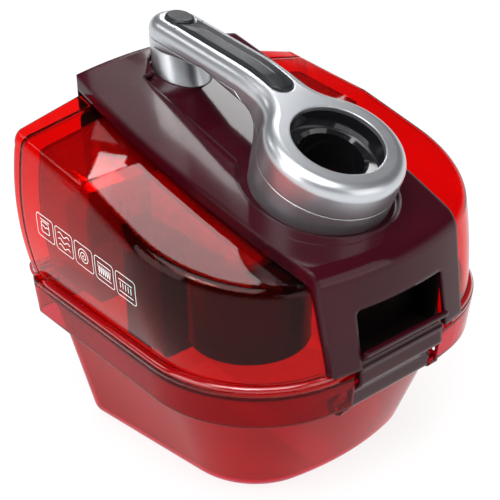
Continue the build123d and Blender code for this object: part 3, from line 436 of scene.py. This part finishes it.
STEEL = Finish(
    "zinc_steel", tint=(0.56, 0.56, 0.57), drift=(0.48, 0.48, 0.50), low=0.22, high=0.4,
    grain=1800.0, bump=0.000006, metallic=1.0,
)
FOAM = Finish(
    "filter_foam", tint=(0.03, 0.03, 0.033), drift=(0.05, 0.05, 0.052), low=0.85, high=0.95,
    grain=500.0, bump=0.0005, dust=0.2,
)
PAPER = Finish(
    "filter_paper", tint=(0.74, 0.72, 0.66), drift=(0.66, 0.64, 0.58), low=0.8, high=0.92,
    grain=700.0, bump=0.00008,
)
INK = Finish(
    "white_print", tint=(0.82, 0.80, 0.80), drift=(0.74, 0.72, 0.72), low=0.4, high=0.55,
    bump=0.000006,
)


def new_piece(name: str, points: np.ndarray, quads: np.ndarray) -> bpy.types.Object:
    """Makes a mesh object and puts it in the scene.

    Args:
        name: the object's name.
        points: its points, n by 3.
        quads: its faces as point numbers, n by 4.

    Returns:
        The object.
    """
    mesh = bpy.data.meshes.new(name)
    mesh.from_pydata(points.tolist(), [], quads.tolist())
    piece = bpy.data.objects.new(name, mesh)
    bpy.context.scene.collection.objects.link(piece)
    return piece


def grid_quads(rows: int, columns: int) -> np.ndarray:
    """Quads of a grid of points, which face along the way across columns crossed with that across rows."""
    corner = (np.arange(rows - 1)[:, None] * columns + np.arange(columns - 1)[None, :]).ravel()
    return np.stack([corner, corner + 1, corner + columns + 1, corner + columns], axis=1)


def settle(piece: bpy.types.Object) -> None:
    """Keeps a piece's modified mesh as its own and drops the modifiers.

    Args:
        piece: the piece.
    """
    bpy.context.view_layer.update()
    shaped = piece.evaluated_get(bpy.context.evaluated_depsgraph_get())
    mesh = bpy.data.meshes.new_from_object(shaped)
    piece.modifiers.clear()
    piece.data = mesh


def surface_piece(name: str, grid: np.ndarray, depth: float, finish: Finish) -> bpy.types.Object:
    """Makes a closed piece from a grid of points, thickened away from its outer face.

    Args:
        name: the piece's name.
        grid: points, rows by columns by 3, with the outer face as grid_quads says.
        depth: thickness, or nought where the grid closes on itself.
        finish: the finish to put on.

    Returns:
        The piece.
    """
    piece = new_piece(name, grid.reshape(-1, 3), grid_quads(*grid.shape[:2]))
    weld = piece.modifiers.new("weld", "WELD")
    weld.merge_threshold = WELD_GAP
    if depth > 0.0:
        body = piece.modifiers.new("body", "SOLIDIFY")
        body.thickness = depth
        body.offset = -1.0
    settle(piece)
    piece.data.polygons.foreach_set("use_smooth", np.ones(len(piece.data.polygons), dtype=bool))
    piece.data.set_sharp_from_angle(angle=SHARP_ANGLE)
    piece.data.materials.append(finish.material())
    LOG.info("%s: %d points", name, len(piece.data.vertices))
    return piece


def strip(path: np.ndarray, width: float, closed: bool) -> Tuple[np.ndarray, np.ndarray]:
    """Flat ribbon of even width along a plane path.

    Each path point gives two points, half the width to either side along the path's normal, which is
    the tangent turned a quarter turn.

    Args:
        path: points, n by 2.
        width: ribbon width.
        closed: whether the last point joins the first.

    Returns:
        Points, 2n by 2, and quads as point numbers.
    """
    if closed:
        step = np.roll(path, -1, axis=0) - np.roll(path, 1, axis=0)
    else:
        step = np.gradient(path, axis=0)
    step = step / np.linalg.norm(step, axis=1, keepdims=True)
    side = np.stack([-step[:, 1], step[:, 0]], axis=1) * (width / 2)
    points = np.concatenate([path - side, path + side])
    count = len(path)
    first = np.arange(count if closed else count - 1)
    after = (first + 1) % count
    return points, np.stack([first, after, after + count, first + count], axis=1)


def rounded_rectangle(half: Spot, corner: float, count: int = 120) -> np.ndarray:
    """Closed path of a rounded rectangle about the origin.

    A point at angle a is a corner of the inner rectangle plus the corner radius along (cos a, sin a). The
    points are then spread evenly by length.

    Args:
        half: half width and half height.
        corner: corner radius.
        count: number of points, a multiple of four.

    Returns:
        Points, count by 2.
    """
    turn = np.linspace(0.0, FULL_TURN, count, endpoint=False) + HALF_TURN / count
    way = np.stack([np.cos(turn), np.sin(turn)], axis=1)
    points = np.sign(way) * (np.array(half) - corner) + corner * way
    loop = np.concatenate([points, points[:1]])
    along = np.concatenate([[0.0], np.cumsum(np.linalg.norm(np.diff(loop, axis=0), axis=1))])
    even = np.linspace(0.0, along[-1], count, endpoint=False)
    return np.stack([np.interp(even, along, loop[:, 0]), np.interp(even, along, loop[:, 1])], axis=1)


def line(start: Spot, end: Spot, count: int = 24) -> np.ndarray:
    """Straight path of evenly spread points between two points."""
    share = np.linspace(0.0, 1.0, count)[:, None]
    return np.array(start) * (1.0 - share) + np.array(end) * share


def level(half: float, v: float) -> np.ndarray:
    """Level straight path of a half length at the height v."""
    return line((-half, v), (half, v))


def wave(half: float, v: float, height: float, turns: float, count: int = 60) -> np.ndarray:
    """Sine path: it rises by height * sin(2 pi turns s) above v, while u runs evenly with s.

    Args:
        half: half length.
        v: the height about which it runs.
        height: its greatest rise.
        turns: number of waves.
        count: number of points.

    Returns:
        Points, count by 2.
    """
    share = np.linspace(0.0, 1.0, count)
    rise = height * np.sin(FULL_TURN * turns * share)
    return np.stack([half * (2.0 * share - 1.0), v + rise], axis=1)


def spiral(radius: float, turns: float, start: float = 0.06, count: int = 110) -> np.ndarray:
    """Spiral path about the origin, whose radius grows evenly with the angle.

    Args:
        radius: radius at the outer end.
        turns: number of turns from the origin.
        start: share of the spiral that is left out at the origin.
        count: number of points.

    Returns:
        Points, count by 2.
    """
    share = np.linspace(start, 1.0, count)
    turn = FULL_TURN * turns * share
    return (radius * share)[:, None] * np.stack([np.cos(turn), np.sin(turn)], axis=1)


def zigzag(half: float, height: float, folds: int, count: int = 96) -> np.ndarray:
    """Pleat path about the origin: a triangle wave over the length.

    Args:
        half: half length.
        height: height from the lowest to the highest point.
        folds: number of pleats.
        count: number of points.

    Returns:
        Points, count by 2.
    """
    share = np.linspace(0.0, 1.0, count)
    fold = np.abs(((share * folds) % 1.0) - 0.5) * 2.0
    return np.stack([half * (2.0 * share - 1.0), height * (fold - 0.5)], axis=1)


@dataclass
class PrintedMarks:
    """Row of five framed pictograms printed on the cover's left side.

    u runs towards the front and v upwards, from the middle of a frame.
    """

    rear: float = 0.0797
    top: float = 0.1610
    fall: float = 0.055
    width: float = 0.0185
    height: float = 0.0155
    pitch: float = 0.0209
    corner: float = 0.0022
    frame_line: float = 0.00042
    stroke: float = 0.00050
    ink: float = 0.00006
    start_x: float = -0.16
    wave_turns: float = 1.5
    tub_half: Spot = (0.0042, 0.0036)
    tub_corner: float = 0.0012
    tub_points: int = 80
    level_half: float = 0.0036
    level_v: float = 0.0006
    level_wave: float = 0.0005
    lid_half: float = 0.0050
    lid_v: float = 0.0050
    stream_half: float = 0.0062
    stream_wave: float = 0.0010
    stream_gap: float = 0.0040
    whirl_radius: float = 0.0056
    whirl_turns: float = 2.6
    rail_half: float = 0.0066
    rail_v: float = 0.0042
    pleat_half: float = 0.0062
    pleat_height: float = 0.0058
    pleat_folds: int = 6
    bristle_reach: float = 0.0050
    bristle_count: int = 5
    bristle_points: int = 10
    bristle_low: float = -0.0020
    bristle_high: float = 0.0022
    brush_half: float = 0.0064
    brush_v: float = 0.0036
    ground_half: float = 0.0066
    ground_v: float = -0.0044

    def build(self) -> List[bpy.types.Object]:
        """Builds one piece per frame, laid on the cover's side.

        Returns:
            The pieces.
        """
        pictures = (self._tub(), self._air(), self._cyclone(), self._filter(), self._floor())
        made = []
        for number, strokes in enumerate(pictures):
            outline = rounded_rectangle((self.width / 2, self.height / 2), self.corner)
            ribbons = [strip(outline, self.frame_line, True)]
            ribbons += [strip(path, self.stroke, closed) for path, closed in strokes]
            made.append(self._lay(number, ribbons))
        return made

    def _tub(self) -> List[Stroke]:
        """Tub with a level line under a lid.

        Returns:
            The strokes.
        """
        body = rounded_rectangle(self.tub_half, self.tub_corner, self.tub_points)
        fill = wave(self.level_half, self.level_v, self.level_wave, self.wave_turns)
        return [(body, True), (fill, False), (level(self.lid_half, self.lid_v), False)]

    def _air(self) -> List[Stroke]:
        """Three flowing lines of air."""
        rows = (-self.stream_gap, 0.0, self.stream_gap)
        return [(wave(self.stream_half, v, self.stream_wave, self.wave_turns), False) for v in rows]

    def _cyclone(self) -> List[Stroke]:
        """Spiral of whirling air."""
        return [(spiral(self.whirl_radius, self.whirl_turns), False)]

    def _filter(self) -> List[Stroke]:
        """Pleated filter between two rails."""
        rails = [(level(self.rail_half, v), False) for v in (-self.rail_v, self.rail_v)]
        return rails + [(zigzag(self.pleat_half, self.pleat_height, self.pleat_folds), False)]

    def _floor(self) -> List[Stroke]:
        """Bristles under a brush bar, over a floor line.

        Returns:
            The strokes.
        """
        low, high = self.bristle_low, self.bristle_high
        places = np.linspace(-self.bristle_reach, self.bristle_reach, self.bristle_count)
        bristles = [(line((u, low), (u, high), self.bristle_points), False) for u in places]
        ground = level(self.ground_half, self.ground_v)
        return bristles + [(ground, False), (level(self.brush_half, self.brush_v), False)]

    def _lay(self, number: int, ribbons: List[Tuple[np.ndarray, np.ndarray]]) -> bpy.types.Object:
        """Joins ribbons, lays them on the cover's side and gives them the ink's thickness.

        Args:
            number: place in the row, from the rear.
            ribbons: points and quads of each ribbon.

        Returns:
            The finished piece.
        """
        offsets = np.cumsum([0] + [len(points) for points, _ in ribbons[:-1]])
        flat = np.concatenate([points for points, _ in ribbons])
        quads = np.concatenate([faces + offset for (_, faces), offset in zip(ribbons, offsets)])
        first = self.rear - self.width / 2
        along = first - self.pitch * number - flat[:, 0]
        rise = self.top - self.height / 2 - self.fall * (first - along) + flat[:, 1]
        points = np.stack([np.full(len(flat), self.start_x), along, rise], axis=1)
        piece = new_piece(f"printed_mark_{number + 1}", points, quads)
        press = piece.modifiers.new("press", "SHRINKWRAP")
        press.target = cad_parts["upper_shell"]
        press.wrap_method = "PROJECT"
        press.use_project_x = True
        press.use_positive_direction = True
        press.use_negative_direction = False
        press.offset = self.ink
        body = piece.modifiers.new("body", "SOLIDIFY")
        body.thickness = self.ink
        body.offset = 0.0
        settle(piece)
        piece.data.materials.append(INK.material())
        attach(piece, COVER)
        LOG.info("%s: %d points", piece.name, len(piece.data.vertices))
        return piece


class Tub:
    """Frosted tub with its seal, latch pin and hinge pins."""

    def dress(self) -> None:
        """Puts finishes on the tub's solids."""
        FROSTED_RED.dress("dust_tub")
        RIM_RUBBER.dress("rim_seal")
        STEEL.dress("latch_pin", "hinge_pins")


@dataclass
class Cover:
    """Clear cover with its spine, latch and window pocket, the brows at its rear and the bead on its rim.

    The roof rises to the rear, and beside the spine it falls to the sides, more so further back. The sides
    bulge outwards.
    """

    roof_z: float = 0.1856
    roof_slope: float = 0.27
    ridge_half: float = 0.0660
    fall_start: float = 0.0350
    fall_rate: float = 3.4
    side_start: float = 0.1098
    side_round: float = 0.0080
    bulge_half: float = 0.1220
    bulge_z: float = 0.1570
    bulge_rate: float = 2.67
    brow_in: float = 0.0675
    brow_low: float = 0.1070
    brow_front: float = 0.0962
    brow_rear: float = 0.1080
    brow_draw: float = 0.0055
    brow_depth: float = 0.0016
    brow_sink: float = 0.0004
    brow_lip: float = 0.2
    brow_columns: int = 9
    brow_roof_rows: int = 24
    brow_edge_rows: int = 14
    brow_side_rows: int = 40
    rim_half: float = 0.1195
    rim_front: float = -0.1140
    rim_bow: float = 0.3000
    rim_corner: float = 0.0800
    flange_z: float = 0.1051
    bead_rear: float = 0.0920
    bead_stop: float = 0.0500
    bead_inset: float = 0.0029
    bead_half: float = 0.0024
    bead_rise: float = 0.0024
    bead_sink: float = 0.0003
    bead_fade_rows: float = 3.0
    bead_flank_rows: int = 40
    bead_corner_rows: int = 60
    bead_bow_rows: int = 8
    bead_ring: int = 25

    def brow_grid(self) -> np.ndarray:
        """Points of the left brow: an outline along the roof and down the side, carried to the rear.

        Steps run from 0 to 1 on the roof, to 2 round its side edge and to 3 down the side. On the roof z is
        the slope less the fall to the side; the edge is a quarter circle; down the side x is the bulge's
        half width less its rate times the squared height from it. The front column is sunk into the shell.

        Returns:
            Points, rows along the outline by columns to the rear by 3.
        """
        share = np.concatenate([[0.0], np.linspace(self.brow_lip, 1.0, self.brow_columns)])[None, :]
        roof_steps = np.linspace(0.0, 1.0, self.brow_roof_rows)
        edge_steps = np.linspace(1.0, 2.0, self.brow_edge_rows)[1:]
        side_steps = np.linspace(2.0, 3.0, self.brow_side_rows)[1:]
        steps = np.concatenate([roof_steps, edge_steps, side_steps])[:, None]
        drawn = self.brow_draw * np.clip(steps - 1.0, 0.0, 2.0) / 2.0
        along = self.brow_front + (self.brow_rear - drawn - self.brow_front) * share
        out = self.brow_in + (self.side_start - self.brow_in) * np.clip(steps, 0.0, 1.0)
        fall = self.fall_rate * (along - self.fall_start)
        roof = self.roof_z + self.roof_slope * along - fall * np.maximum(out - self.ridge_half, 0.0)
        turn = np.clip(steps - 1.0, 0.0, 1.0) * QUARTER_TURN
        out = out + self.side_round * np.sin(turn)
        edge = roof - self.side_round * (1.0 - np.cos(turn))
        height = edge + (self.brow_low - edge) * np.clip(steps - 2.0, 0.0, 1.0)
        side = self.bulge_half - self.bulge_rate * (height - self.bulge_z) ** 2
        out = np.where(steps > 2.0, side, np.minimum(out, np.maximum(side, self.side_start)))
        sink = np.where(share > 0.0, 0.0, self.brow_sink)
        return np.stack([sink * np.sin(turn) - out, along, height - sink * np.cos(turn)], axis=2)

    def bead_grid(self) -> np.ndarray:
        """Points of the left rim bead: a low rounded section carried along the flange to the latch.

        The path runs straight along the flank, round the corner's arc and along the front's bow. Each of
        its points is an arc's centre plus the arc's radius, less the inset, along the arc's direction. The
        section is the upper half of an ellipse with a flat foot sunk into the flange, and it shrinks to a
        point over the first and last few rows.

        Returns:
            Points, rows along the path by columns round the section by 3.
        """
        bow_y = self.rim_front + self.rim_bow
        corner_x = self.rim_corner - self.rim_half
        corner_y = bow_y - math.sqrt((self.rim_bow - self.rim_corner) ** 2 - corner_x**2)
        meet = math.atan2(corner_y - bow_y, corner_x) % FULL_TURN
        stop = HALF_TURN + QUARTER_TURN - math.asin(self.bead_stop / self.rim_bow)
        runs = (self.bead_flank_rows, self.bead_corner_rows, self.bead_bow_rows)
        turn = np.concatenate(
            [
                np.full(self.bead_flank_rows, HALF_TURN),
                np.linspace(HALF_TURN, meet, self.bead_corner_rows),
                np.linspace(meet, stop, self.bead_bow_rows),
            ]
        )
        centre_x = np.repeat([corner_x, corner_x, 0.0], runs)
        centre_y = np.repeat([corner_y, corner_y, bow_y], runs)
        centre_y[: self.bead_flank_rows] = np.linspace(self.bead_rear, corner_y, self.bead_flank_rows)
        radius = np.repeat([self.rim_corner, self.rim_corner, self.rim_bow], runs)[:, None]
        row = np.arange(len(turn))
        size = np.sqrt(np.clip(np.minimum(row, row[::-1]) / self.bead_fade_rows, 0.0, 1.0))[:, None]
        ring = np.linspace(0.0, FULL_TURN, self.bead_ring)[None, :]
        reach = radius - self.bead_inset - self.bead_half * np.cos(ring) * size
        rise = np.maximum(self.bead_rise * np.sin(ring), -self.bead_sink) * size
        x = centre_x[:, None] + reach * np.cos(turn)[:, None]
        y = centre_y[:, None] + reach * np.sin(turn)[:, None]
        return np.stack([x, y, self.flange_z + rise], axis=2)

    def build(self) -> List[bpy.types.Object]:
        """Builds the brows and the rim beads on both sides.

        Returns:
            The left and the right brow, then the left and the right bead.
        """
        brows = self._pair("shell_brow", self.brow_grid(), self.brow_depth, CLEAR_RED)
        return brows + self._pair("rim_bead", self.bead_grid(), 0.0, BEAD_RED)

    @staticmethod
    def _pair(stem: str, left: np.ndarray, depth: float, finish: Finish) -> List[bpy.types.Object]:
        """Builds a left piece and its mirror image.

        Args:
            stem: start of both names.
            left: points of the left piece.
            depth: thickness, or nought where the points close on themselves.
            finish: the finish to put on.

        Returns:
            The left and the right piece.
        """
        made = []
        for side, grid in (("left", left), ("right", left[::-1] * MIRROR)):
            piece = surface_piece(f"{stem}_{side}", grid, depth, finish)
            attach(piece, COVER)
            made.append(piece)
        return made

    def dress(self) -> None:
        """Puts finishes on the cover's solids."""
        CLEAR_RED.dress("upper_shell")
        MAROON.dress("spine_cover", "latch_flap")
        # The latch pocket's black is darkened further as painted shade for the recess behind the window.
        BLACK_WITH_PAINTED_SHADE.dress("latch_pocket")
        STEEL.dress("spine_screws")


@dataclass
class Handle:
    """Silver carrying handle with grip, button and hose socket.

    The handle's top runs down the ring's plane, round a bend and up the bar, as y to z.
    """

    ring_y: float = -0.0546
    ring_z: float = 0.2180
    ring_slope: float = 0.40403
    bar_y: float = 0.0900
    bar_z: float = 0.2540
    bar_slope: float = 0.14
    bend: float = 0.150
    grip_half: float = 0.0085
    grip_front: float = -0.0130
    grip_rise: float = 0.0016
    grip_ridge: float = 0.0018
    grip_depth: float = 0.0042
    grip_round: float = 0.0018
    grip_fade: float = 0.0130
    grip_rows: int = 97
    grip_columns: int = 33
    button_centre: float = 0.0890
    button_half: float = 0.0085
    button_gap: float = 0.0013
    press: float = 0.0035
    spring_wire: float = 0.0005
    spring_turns: float = 6.0
    spring_steps: int = 192
    spring_ring: int = 13

    def top_line(self, along: np.ndarray) -> np.ndarray:
        """Height of the handle's top: two straight runs joined by an arc tangent to both.

        Args:
            along: places along the handle.

        Returns:
            Heights at those places.
        """
        ring_foot = self.ring_z - self.ring_y * self.ring_slope
        bar_foot = self.bar_z - self.bar_y * self.bar_slope
        meet = (bar_foot - ring_foot) / (self.ring_slope - self.bar_slope)
        steep, flat = math.atan(self.ring_slope), math.atan(self.bar_slope)
        reach = self.bend * math.tan((steep - flat) / 2)
        start = meet - reach * math.cos(steep)
        end = meet + reach * math.cos(flat)
        centre_y = start + self.bend * math.sin(steep)
        centre_z = ring_foot + start * self.ring_slope - self.bend * math.cos(steep)
        inside = np.clip(along, start, end)
        arc = centre_z + np.sqrt(self.bend**2 - (inside - centre_y) ** 2)
        ring = ring_foot + along * self.ring_slope
        bar = bar_foot + along * self.bar_slope
        return np.where(along < start, ring, np.where(along > end, bar, arc))

    def grip(self) -> bpy.types.Object:
        """Builds the soft grip: a ridged strip with a round front and a rear end round the button.

        Across, x is the half width times sin v. Lengthways, y runs from the front's half circle to an arc
        one gap in front of the button, with points closer at both ends. The height is the top line plus the
        rise and a ridge that falls off evenly to the sides and fades at both ends, less a quarter round
        along the outline.

        Returns:
            The piece, which stands for the plain insert.
        """
        share = (1.0 - np.cos(np.linspace(0.0, HALF_TURN, self.grip_rows))) / 2
        across_turn = np.linspace(-QUARTER_TURN, QUARTER_TURN, self.grip_columns)
        lengthways, turn = np.meshgrid(share, across_turn, indexing="ij")
        across = self.grip_half * np.sin(turn)
        front = self.grip_front + self.grip_half * (1.0 - np.cos(turn))
        rear = self.button_centre - np.sqrt((self.button_half + self.button_gap) ** 2 - across**2)
        along = front + (rear - front) * lengthways
        from_end = np.minimum(along - front, rear - along)
        inside = np.minimum(from_end, self.grip_half - np.abs(across))
        near = np.clip(1.0 - inside / self.grip_round, 0.0, 1.0)
        fade = np.clip(from_end / self.grip_fade, 0.0, 1.0)
        ridge = self.grip_ridge * (1.0 - np.abs(across) / self.grip_half) * fade
        lost = self.grip_round * (1.0 - np.sqrt(1.0 - near**2))
        height = self.top_line(along) + self.grip_rise + ridge - lost
        points = np.stack([across, along, height], axis=2)
        piece = surface_piece("grip_pad", points, self.grip_depth, SOFT_GRIP)
        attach(piece, COVER)
        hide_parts("grip_insert")
        return piece

    def spring(self) -> bpy.types.Object:
        """Builds the button's return spring, which shortens as the button goes down.

        The wire's middle goes round at a fixed radius while it climbs evenly, and each wire section is a
        circle about that middle, in the plane of the radius and the axis. The first and last sections are
        points.

        Returns:
            The piece, which stands for the plain spring.
        """
        low, high = (np.array(corner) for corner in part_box("button_spring"))
        middle = (low + high) / 2
        length = float(high[2] - low[2])
        radius = (high[0] - low[0]) / 2 - self.spring_wire
        steps = np.clip(np.arange(-1, self.spring_steps + 2) / self.spring_steps, 0.0, 1.0)
        share, ring = np.meshgrid(steps, np.linspace(FULL_TURN, 0.0, self.spring_ring), indexing="ij")
        wire = np.full((len(steps), 1), self.spring_wire)
        wire[[0, -1]] = 0.0
        turn = FULL_TURN * self.spring_turns * share
        climb = low[2] + self.spring_wire + (length - 2 * self.spring_wire) * share
        reach = radius + wire * np.cos(ring)
        x = middle[0] + reach * np.cos(turn)
        y = middle[1] + reach * np.sin(turn)
        z = climb + wire * np.sin(ring)
        piece = surface_piece("return_spring", np.stack([x, y, z], axis=2), 0.0, STEEL)
        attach(piece, COVER)
        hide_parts("button_spring")
        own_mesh(piece)
        return piece

    def dress(self) -> None:
        """Puts finishes on the handle's solids."""
        SILVER.dress("handle_lower", "handle_upper")
        SOFT_GRIP.dress("release_button")
        GLOSS_BLACK.dress("inlet_socket")
        RUBBER.dress("inlet_seal")
        BLACK_PLASTIC.dress("push_rod")
        STEEL.dress("handle_screws", "button_spring")


class AirPath:
    """Inner ducts, cyclone and filter, seen through the cover."""

    def dress(self) -> None:
        """Puts finishes on the inner solids."""
        SMOKE.dress("air_hood", "rear_chamber")
        DARK_SMOKE.dress("inlet_duct", "cyclone_tube")
        # These inner mouldings' black is darkened further as painted shade inside the cover.
        BLACK_WITH_PAINTED_SHADE.dress("vortex_finder", "filter_housing", "filter_frame")
        BLACK_PLASTIC.dress("outlet_grille")
        STEEL.dress("mesh_screen", "grille_screws")
        FOAM.dress("foam_filter")
        PAPER.dress("filter_pleats")
        RUBBER.dress("outlet_seal")


@dataclass(frozen=True)
class SoftBox:
    """A rectangular lamp that faces a point, with its power in watts."""

    name: str
    place: Point
    aim: Point
    width: float
    height: float
    power: float

    def build(self) -> None:
        """Adds the lamp to the scene."""
        lamp = bpy.data.lights.new(self.name, "AREA")
        lamp.shape = "RECTANGLE"
        lamp.size = self.width
        lamp.size_y = self.height
        lamp.energy = self.power
        stand = bpy.data.objects.new(self.name, lamp)
        stand.location = self.place
        stand.rotation_mode = "QUATERNION"
        stand.rotation_quaternion = (Vector(self.aim) - Vector(self.place)).to_track_quat("-Z", "Y")
        bpy.context.scene.collection.objects.link(stand)


BIN_MIDDLE = (0.0, 0.0, 0.1)
LEFT_RIM = (-0.12, 0.0, 0.1)
ROOF = (0.0, 0.0, 0.18)
SPINE_TOP = (0.0, 0.0, 0.19)
HANDLE_FOOT = (0.0, 0.0, 0.2)

# Three large lamps light the bin, and the small ones stand where its gloss shows them
LAMPS = (
    SoftBox("lamp_top", (-0.35, -0.35, 1.5), BIN_MIDDLE, width=1.2, height=1.0, power=20.0),
    SoftBox("lamp_left", (-1.4, 0.1, 0.9), BIN_MIDDLE, width=1.0, height=1.2, power=10.0),
    SoftBox("lamp_front", (0.5, -1.5, 0.8), BIN_MIDDLE, width=1.2, height=0.9, power=5.0),
    SoftBox("lamp_roof", (0.93, 0.72, 1.40), ROOF, width=0.42, height=0.55, power=5.8),
    SoftBox("lamp_rear", (0.58, 0.82, 1.52), HANDLE_FOOT, width=0.30, height=0.25, power=0.4),
    SoftBox("lamp_strip", (0.75, 1.09, 1.28), SPINE_TOP, width=0.16, height=0.36, power=2.0),
    SoftBox("lamp_rim", (-0.75, -0.55, 1.75), BIN_MIDDLE, width=0.50, height=0.16, power=8.0),
    SoftBox("lamp_flank", (-0.60, 0.95, 1.20), LEFT_RIM, width=0.30, height=0.30, power=1.2),
)


@dataclass
class Studio:
    """Pale floor, white surround, soft lamps and the camera of the photograph.

    Clear rays see a surround that is white up to the horizon and fades to the ceiling's strength over the
    band. Every other ray gets the sky's strength from it.
    """

    eye: Point = (-0.4136, -0.4585, 0.4643)
    azimuth: float = -40.72
    elevation: float = 28.88
    lens: float = 79.34
    sensor: float = 36.0
    near: float = 0.01
    far: float = 20.0
    floor_half: float = 4.0
    floor_points: int = 9
    floor_tint: Rgb = (0.93, 0.93, 0.93)
    floor_glow: float = 0.85
    sky: float = 0.5
    ceiling: float = 0.06
    band: float = 0.4

    def build(self) -> None:
        """Builds floor, world, lamps and camera."""
        self._floor()
        self._world()
        for lamp in LAMPS:
            lamp.build()
        self._camera()

    def _floor(self) -> None:
        """Pale floor: a flat grid, x and y from minus to plus its half size."""
        reach = np.linspace(-self.floor_half, self.floor_half, self.floor_points)
        x, y = np.meshgrid(reach, reach, indexing="xy")
        points = np.stack([x.ravel(), y.ravel(), np.zeros(x.size)], axis=1)
        floor = new_piece("floor", points, grid_quads(self.floor_points, self.floor_points))
        material = bpy.data.materials.new("pale_floor")
        material.use_nodes = True
        board = Board(material.node_tree)
        board.tree.nodes.clear()
        matt = board.add("ShaderNodeBsdfDiffuse", {"Color": rgba(self.floor_tint)})
        white = board.add("ShaderNodeEmission", {"Color": WHITE, "Strength": 1.0})
        share = board.math("MULTIPLY", self._clear_rays(board), self.floor_glow)
        mixed = board.add("ShaderNodeMixShader", {0: share, 1: matt.outputs[0], 2: white.outputs[0]})
        board.add("ShaderNodeOutputMaterial", {"Surface": mixed.outputs[0]})
        floor.data.materials.append(material)

    @staticmethod
    def _clear_rays(board: Board) -> bpy.types.NodeSocket:
        """Adds the rays that see the white surround: camera, mirror and clear ones.

        Args:
            board: the board to add to.

        Returns:
            One for such a ray, otherwise nought.
        """
        rays = board.add("ShaderNodeLightPath")
        seen = board.math("MAXIMUM", rays.outputs["Is Camera Ray"], rays.outputs["Is Glossy Ray"])
        return board.math("MAXIMUM", seen, rays.outputs["Is Transmission Ray"])

    def _world(self) -> None:
        """White surround that lights the bin softly."""
        world = bpy.data.worlds.new("surround")
        world.use_nodes = True
        board = Board(world.node_tree)
        board.tree.nodes.clear()
        look = board.add("ShaderNodeTexCoord").outputs["Generated"]
        height = board.add("ShaderNodeSeparateXYZ", {0: look}).outputs["Z"]
        around = board.spread(height, (0.0, self.band), 1.0, self.ceiling)
        more = board.math("SUBTRACT", around, self.sky)
        strength = board.math("MULTIPLY_ADD", self._clear_rays(board), more, self.sky)
        sky = board.add("ShaderNodeBackground", {"Color": WHITE, "Strength": strength})
        board.add("ShaderNodeOutputWorld", {"Surface": sky.outputs[0]})
        bpy.context.scene.world = world

    def _camera(self) -> None:
        """Adds the camera at the photograph's place."""
        side, rise = math.radians(self.azimuth), math.radians(self.elevation)
        back = Vector((math.sin(side) * math.cos(rise), -math.cos(side) * math.cos(rise), math.sin(rise)))
        lens = bpy.data.cameras.new("photo_camera")
        lens.lens = self.lens
        lens.sensor_width = self.sensor
        lens.clip_start = self.near
        lens.clip_end = self.far
        camera = bpy.data.objects.new("photo_camera", lens)
        camera.location = self.eye
        camera.rotation_mode = "QUATERNION"
        camera.rotation_quaternion = (-back).to_track_quat("-Z", "Y")
        bpy.context.scene.collection.objects.link(camera)
        bpy.context.scene.camera = camera


def main() -> None:
    """Builds the bin's looks in order."""
    logging.basicConfig(level=logging.INFO, format="%(name)s %(message)s")
    bpy.context.scene.view_settings.view_transform = "Standard"
    Effects().build()
    Studio().build()
    Tub().dress()
    cover = Cover()
    cover.dress()
    cover.build()
    handle = Handle()
    handle.dress()
    handle.grip()
    handle.spring()
    AirPath().dress()
    PrintedMarks().build()


if __name__ == "__main__":
    main()
